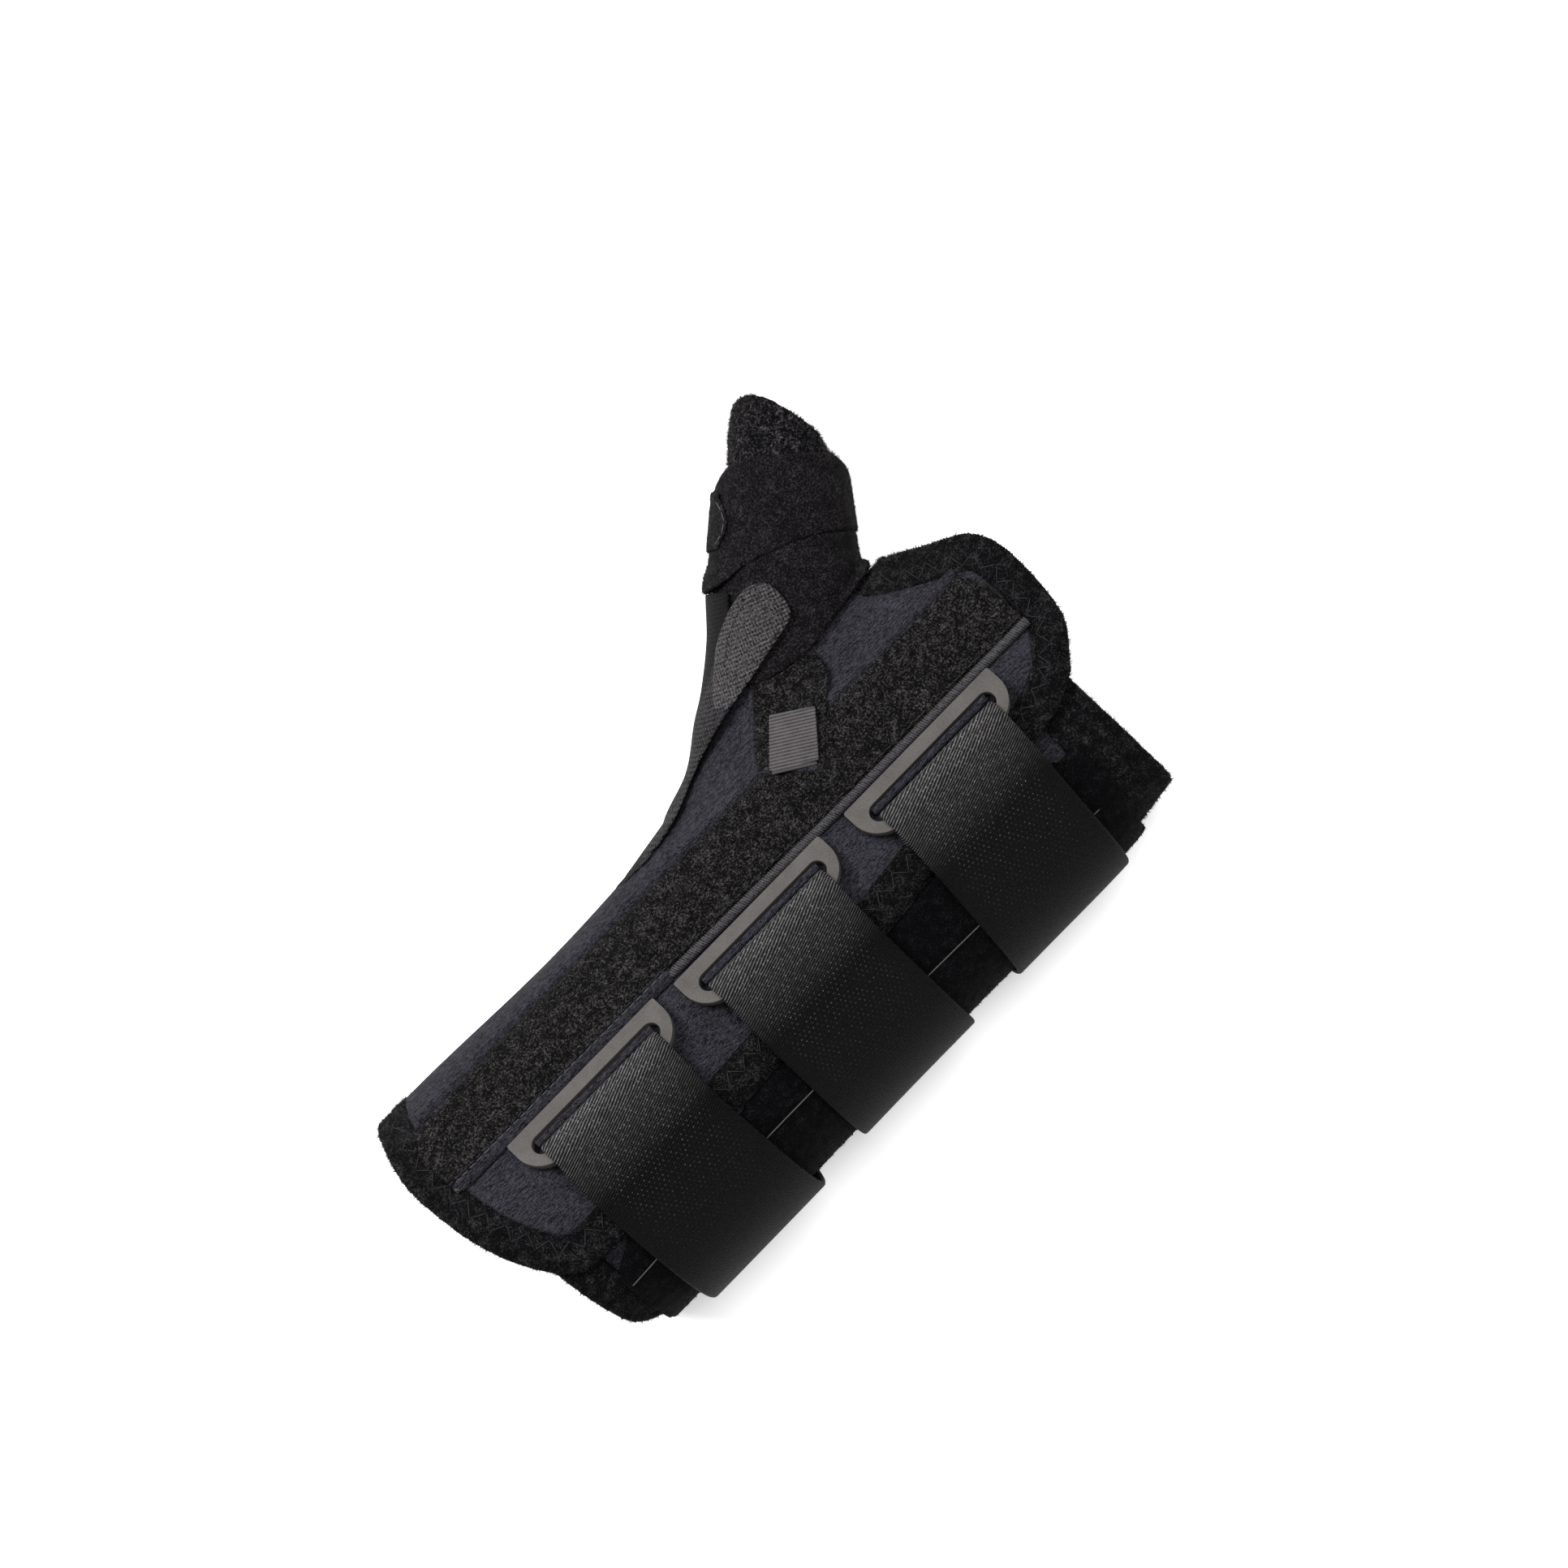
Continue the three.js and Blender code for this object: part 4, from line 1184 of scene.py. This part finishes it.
def ring_solid(name, pose):
    """A flat ring with two sharp upper corners, two round lower ones and a long slot."""
    half = RING_LENGTH / 2
    low = -RING_WIDTH + RING_CORNER
    outline = np.vstack([
        arc((-half + RING_SHARP_CORNER, -RING_SHARP_CORNER), RING_SHARP_CORNER, 90, 180, 5),
        arc((-half + RING_CORNER, low), RING_CORNER, 180, 270),
        arc((half - RING_CORNER, low), RING_CORNER, 270, 360),
        arc((half - RING_SHARP_CORNER, -RING_SHARP_CORNER), RING_SHARP_CORNER, 0, 90, 5),
    ])
    end = SLOT_LENGTH / 2 - SLOT_WIDTH / 2
    centre = -RING_BAR - SLOT_WIDTH / 2
    slot_outline = np.vstack([
        arc((end, centre), SLOT_WIDTH / 2, -90, 90),
        arc((-end, centre), SLOT_WIDTH / 2, 90, 270),
    ])
    slot = prism(slot_outline, -1, RING_THICKNESS + 1)
    made = boolean(prism(outline, 0, RING_THICKNESS), slot, "DIFFERENCE")
    made.name = name
    discard(slot)
    soften = made.modifiers.new("rim", "BEVEL")
    soften.width = RING_RIM * MM
    soften.segments = 3
    soften.limit_method = "ANGLE"
    soften.angle_limit = math.radians(50)
    applied(made)
    points, triangles = mesh_arrays(made.data)
    made.data = solid_from(name, placed(points, pose), triangles)
    made.data.set_sharp_from_angle(angle=math.radians(35))
    return made


def plastic_paint(start):
    here = place(start)
    speckle = grain(here, 0.3, 2.0)
    clouds = grain(here, 6.0)
    shade = (speckle * 0.9 + clouds * 0.5 - 0.2).clamped()
    return mixed(shade, linear(44, 42, 41), linear(84, 81, 79)), 0.5, speckle, 0.04


plastic = finish("moulded_plastic", plastic_paint)
STRAPS = {"forearm": (-0.268, 1.6, 1.6), "wrist": (-0.006, 0.0, 0.3), "hand": (0.266, -4.5, 0.0)}
poses = {}
for name, (along, _, _) in STRAPS.items():
    half = RING_LENGTH / 2 / LENGTH
    top = min(piping_across(along - half), piping_across(along + half)) * WIDTH - PIPING_WIDTH / 2 - 2 * GAP
    poses[name] = ring_frame(along * LENGTH, float(top))
    dress(ring_solid(f"plastic_ring_{name}", poses[name]), plastic, "plastic", f"ring_{name}")
    across = np.linspace(-0.5, 0.5, 40) * (SLOT_LENGTH - 3)
    in_slot = np.column_stack([across, np.full(40, -RING_BAR - 1.15), np.full(40, 0.85)])
    roll = cord(f"slot_roll_{name}", placed(in_slot, poses[name]), 1.0, 1.0)
    dress(roll, laminate, "laminate")

# Elastic straps
# Each 38 mm elastic strap is sewn under the palm, comes round the little-finger side over the pile strip and
# the flap, and turns back under itself through its ring.

STRAP_WIDTH = 38.0
STRAP_END = 0.26 * WIDTH
STRAP_STATIONS = 200
STRAP_TURNS = 60
STRAP_EASINGS = 14
SEAT = GAP + WEBBING / 2
TUCK = 9.5
BAR_TOP = -RING_BAR - SLOT_WIDTH


def strap_offset(point):
    """How far the strap's inner face stands off the hollow, over the flap, pile strip and table side."""
    on_flap = 2 * (WALL + GAP) + GAP
    on_strip = WALL + 3 * GAP + PILE_DEPTH
    doubled = (WEBBING + GAP) * smoothstep(point[..., 1], -0.25 * WIDTH, -0.1 * WIDTH)
    side = on_flap + doubled + (on_strip - on_flap) * smoothstep(-point[..., 1], 0.2 * WIDTH, 0.33 * WIDTH)
    inward = smoothstep(point[..., 1], -0.36 * WIDTH, -0.24 * WIDTH)
    return np.where(point[..., 2] < SEAM_HEIGHT, side + (WALL + GAP - side) * inward, side)


def fold_path():
    """Up through the slot, round the lower bar and back over it, in the ring's own frame."""
    over = RING_THICKNESS + SEAT
    low = arc((BAR_TOP, 0), SEAT, -90, 0, 5)
    high = arc((BAR_TOP, RING_THICKNESS), SEAT, 0, 90, 5)
    return np.vstack([low, high, [(BAR_TOP - RING_BAR, over - 0.15)]])


def strap_solid(name, along, drift, bow, pose):
    """A strap from its tucked end, round the ring's bar and the wrap, to its end under the palm."""
    middle = along * LENGTH
    start = angle_at(middle, -0.115 * WIDTH, WALL)
    finish_angle = 2 * math.pi - math.acos(STRAP_END / math.hypot(STRAP_END, 0.4 * HEIGHT))
    turns = np.linspace(start, finish_angle, STRAP_TURNS)
    progress = np.linspace(0, 1, STRAP_TURNS)
    edges = np.array([0, 0.1, 0.4, 0.9, 1.4]) / STRAP_WIDTH
    columns = np.concatenate([-0.5 + edges, np.linspace(-0.42, 0.42, 13), (0.5 - edges)[::-1]])
    folded = fold_path()
    bar_place = pose[1][1] + BAR_TOP
    tuck_places = bar_place - TUCK * np.array([1, 0.7, 0.4])
    tucked = [(y, flap_height(middle, y) + SEAT) for y in tuck_places]
    paths = []
    for column in columns:
        local = np.column_stack([np.full(len(folded), column * STRAP_WIDTH), folded])
        x = middle + column * STRAP_WIDTH + drift * np.minimum(2 * progress, 1)
        base = wrap_point(x, turns, WALL)
        bowed = np.where(base[:, 2] > HOLLOW_FLOOR, bow * np.maximum(0, -np.cos(turns)) ** 2, 0)
        laid = wrap_point(x, turns, strap_offset(base) + WEBBING / 2 + bowed)
        under = [(middle + column * STRAP_WIDTH, *spot) for spot in tucked]
        turned = np.vstack([under, placed(local, pose)])
        bridge = np.linspace(turned[-1], laid[0], 6)[1:-1]
        path, _ = spaced(smooth(np.vstack([turned, bridge, laid]), 4), STRAP_STATIONS)
        for _ in range(STRAP_EASINGS):
            eased = (path[1:-1] * 2 + path[:-2] + path[2:]) / 4
            path[1:-1] = np.where(path[1:-1, 1:2] < pose[1][1] - RING_WIDTH + 1, eased, path[1:-1])
        paths.append(path)
    grid = np.array(paths)
    run = unit(np.gradient(grid[..., 1:], axis=1))
    outward = np.stack([np.zeros(run.shape[:2]), run[..., 1], -run[..., 0]], -1)
    rim = np.clip((0.5 - np.abs(columns)) * STRAP_WIDTH / 0.7, 0, 1)
    depth = WEBBING / 2 * np.sqrt(1 - (1 - rim) ** 2) * 0.98 + 0.02
    above = grid + outward * depth[:, None, None]
    below = grid - outward * depth[:, None, None]
    rings = np.concatenate([above, below[::-1]], 0).transpose(1, 0, 2)
    rings[..., 2] = np.maximum(rings[..., 2], 0)
    made = loft(name, rings)
    centre = grid[len(columns) // 2]
    reach = reach_of(centre)
    across = np.concatenate([columns, columns[::-1]]) * STRAP_WIDTH
    where = np.stack(np.broadcast_arrays(across[None, :], reach[:, None]), -1).reshape(-1, 2)
    cloth_map = made.data.uv_layers.new(name="weave")
    corners = np.empty(len(made.data.loops), int)
    made.data.loops.foreach_get("vertex_index", corners)
    cloth_map.data.foreach_set("uv", (where[corners] * MM * 10).ravel())
    made.data.shade_smooth()
    return made, reach[-1]


def elastic_paint(start):
    flat = start.node("ShaderNodeUVMap", {"uv_map": "weave"})
    flat = start.node("ShaderNodeVectorMath", {"operation": "SCALE"}, {0: flat, "Scale": 100.0})
    parts = start.tree.nodes.new("ShaderNodeSeparateXYZ")
    start.tree.links.new(flat.socket, parts.inputs[0])
    across, along = Wire(start.tree, parts.outputs[0]), Wire(start.tree, parts.outputs[1])
    here = place(start)
    ribs_along = wave(flat, (0.35, 1, 0), 0.62)
    yarns = wave(flat, (1, -0.25, 0), 0.55)
    row = along / 1.15
    row_number = row.maths("FLOOR", row)
    column = across / 1.3 + row_number * 0.5
    from_row = row - row_number - 0.5
    from_column = column - column.maths("FLOOR", column) - 0.5
    distance = (from_row * from_row + from_column * from_column * 1.4).power(0.5)
    dots = (1.0 - distance * 4.2).clamped()
    scatter = (grain(here, 1.1, 2.0) * 4.0 - 1.5).clamped()
    edge = across.maths("ABSOLUTE", across)
    inside = ((17.0 - edge) * 0.25).clamped()
    # Painted highlight: the strap is painted lighter within about 36 mm of its fold over the ring's bar.
    fold_highlight = ((36.0 - along) * 0.05).clamped()
    # Painted shade: the dots are painted dimmer with distance from the fold, towards the strap's side turned
    # from the light.
    specks = dots * scatter * inside * ((66.0 - along) * 0.025).clamped()
    fuzz = grain(here, 0.4, 3.0)
    # Near the fold the rib dashes add painted glints on the ribs.
    dashes = (ribs_along * 0.5 + 0.5).power(2.5) * (scatter * 0.6 + 0.5)
    shade = specks * 0.75 + fold_highlight * (0.04 + dashes * 0.72) + fuzz * 0.13 + yarns * 0.03 - 0.08
    colour = mixed(shade.clamped(), linear(3, 3, 4), linear(106, 104, 105))
    selvage = (edge - 17.6).clamped()
    height = ribs_along * 0.5 + yarns * 0.4 + dots * 0.7 - selvage * 0.8
    return colour, 0.62, height, 0.16


elastic = finish("woven_elastic", elastic_paint)
for name, (along, drift, bow) in STRAPS.items():
    strap, strap_length = strap_solid(f"elastic_strap_{name}", along, drift, bow, poses[name])
    dress(strap, elastic, "elastic", f"strap_{name}")
    sheet_of(strap, STRAP_WIDTH, strap_length, "stretched", f"plastic_ring_{name}")

# Room and view
# A pale table under soft studio light, seen from straight above, as the photograph is.

discard(*forms.values(), *[made for made in bpy.data.objects if made.name.startswith("prism")])

FLOOR_HALF = 2000
floor_corners = [(x * FLOOR_HALF, y * FLOOR_HALF, 0) for x, y in ((-1, -1), (1, -1), (1, 1), (-1, 1))]
floor = new_object("table", floor_corners, [(0, 1, 2, 3)])


def table_paint(start):
    here = place(start)
    return mixed(grain(here, 40.0), (0.95, 0.95, 0.95), (0.98, 0.98, 0.98)), 0.7, grain(here, 3.0), 0.02


pale_table = finish("pale_table", table_paint)
glow = pale_table.node_tree.nodes["Principled BSDF"].inputs
glow["Emission Color"].default_value = (1, 1, 1, 1)
glow["Emission Strength"].default_value = 0.3
floor.data.materials.append(pale_table)

world = bpy.data.worlds.new("studio")
world.use_nodes = True
world.node_tree.nodes["Background"].inputs["Color"].default_value = (1, 1, 1, 1)
world.node_tree.nodes["Background"].inputs["Strength"].default_value = 0.38
bpy.context.scene.world = world

for name, spot, size, power in (
    ("key_light", (-0.35, 1.0, 1.3), 0.7, 40),
    ("top_light", (0.5, 0.2, 1.6), 0.9, 22),
):
    lamp = bpy.data.lights.new(name, "AREA")
    lamp.shape = "DISK"
    lamp.size = size
    lamp.energy = power
    light = linked(name, lamp)
    light.location = spot
    light.rotation_euler = (-Vector(spot)).to_track_quat("-Z", "Y").to_euler()

VIEW_CENTRE = Vector((26.2, 28.9, 40.0)) * MM
VIEW_WIDTH = 0.373
VIEW_DISTANCE = 1.15
ROLL_RIGHT = Vector((0.6997, -0.7145, 0))
ROLL_UP = Vector((0.7145, 0.6997, 0))
lens = bpy.data.cameras.new("view")
lens.sensor_width = 36
lens.lens = 36 * VIEW_DISTANCE / VIEW_WIDTH
bpy.context.scene.view_settings.view_transform = "Standard"
camera = linked("view", lens)
turn = Matrix((ROLL_RIGHT, ROLL_UP, Vector((0, 0, 1)))).transposed().to_4x4()
camera.matrix_world = Matrix.Translation(VIEW_CENTRE + Vector((0, 0, VIEW_DISTANCE))) @ turn
bpy.context.scene.camera = camera
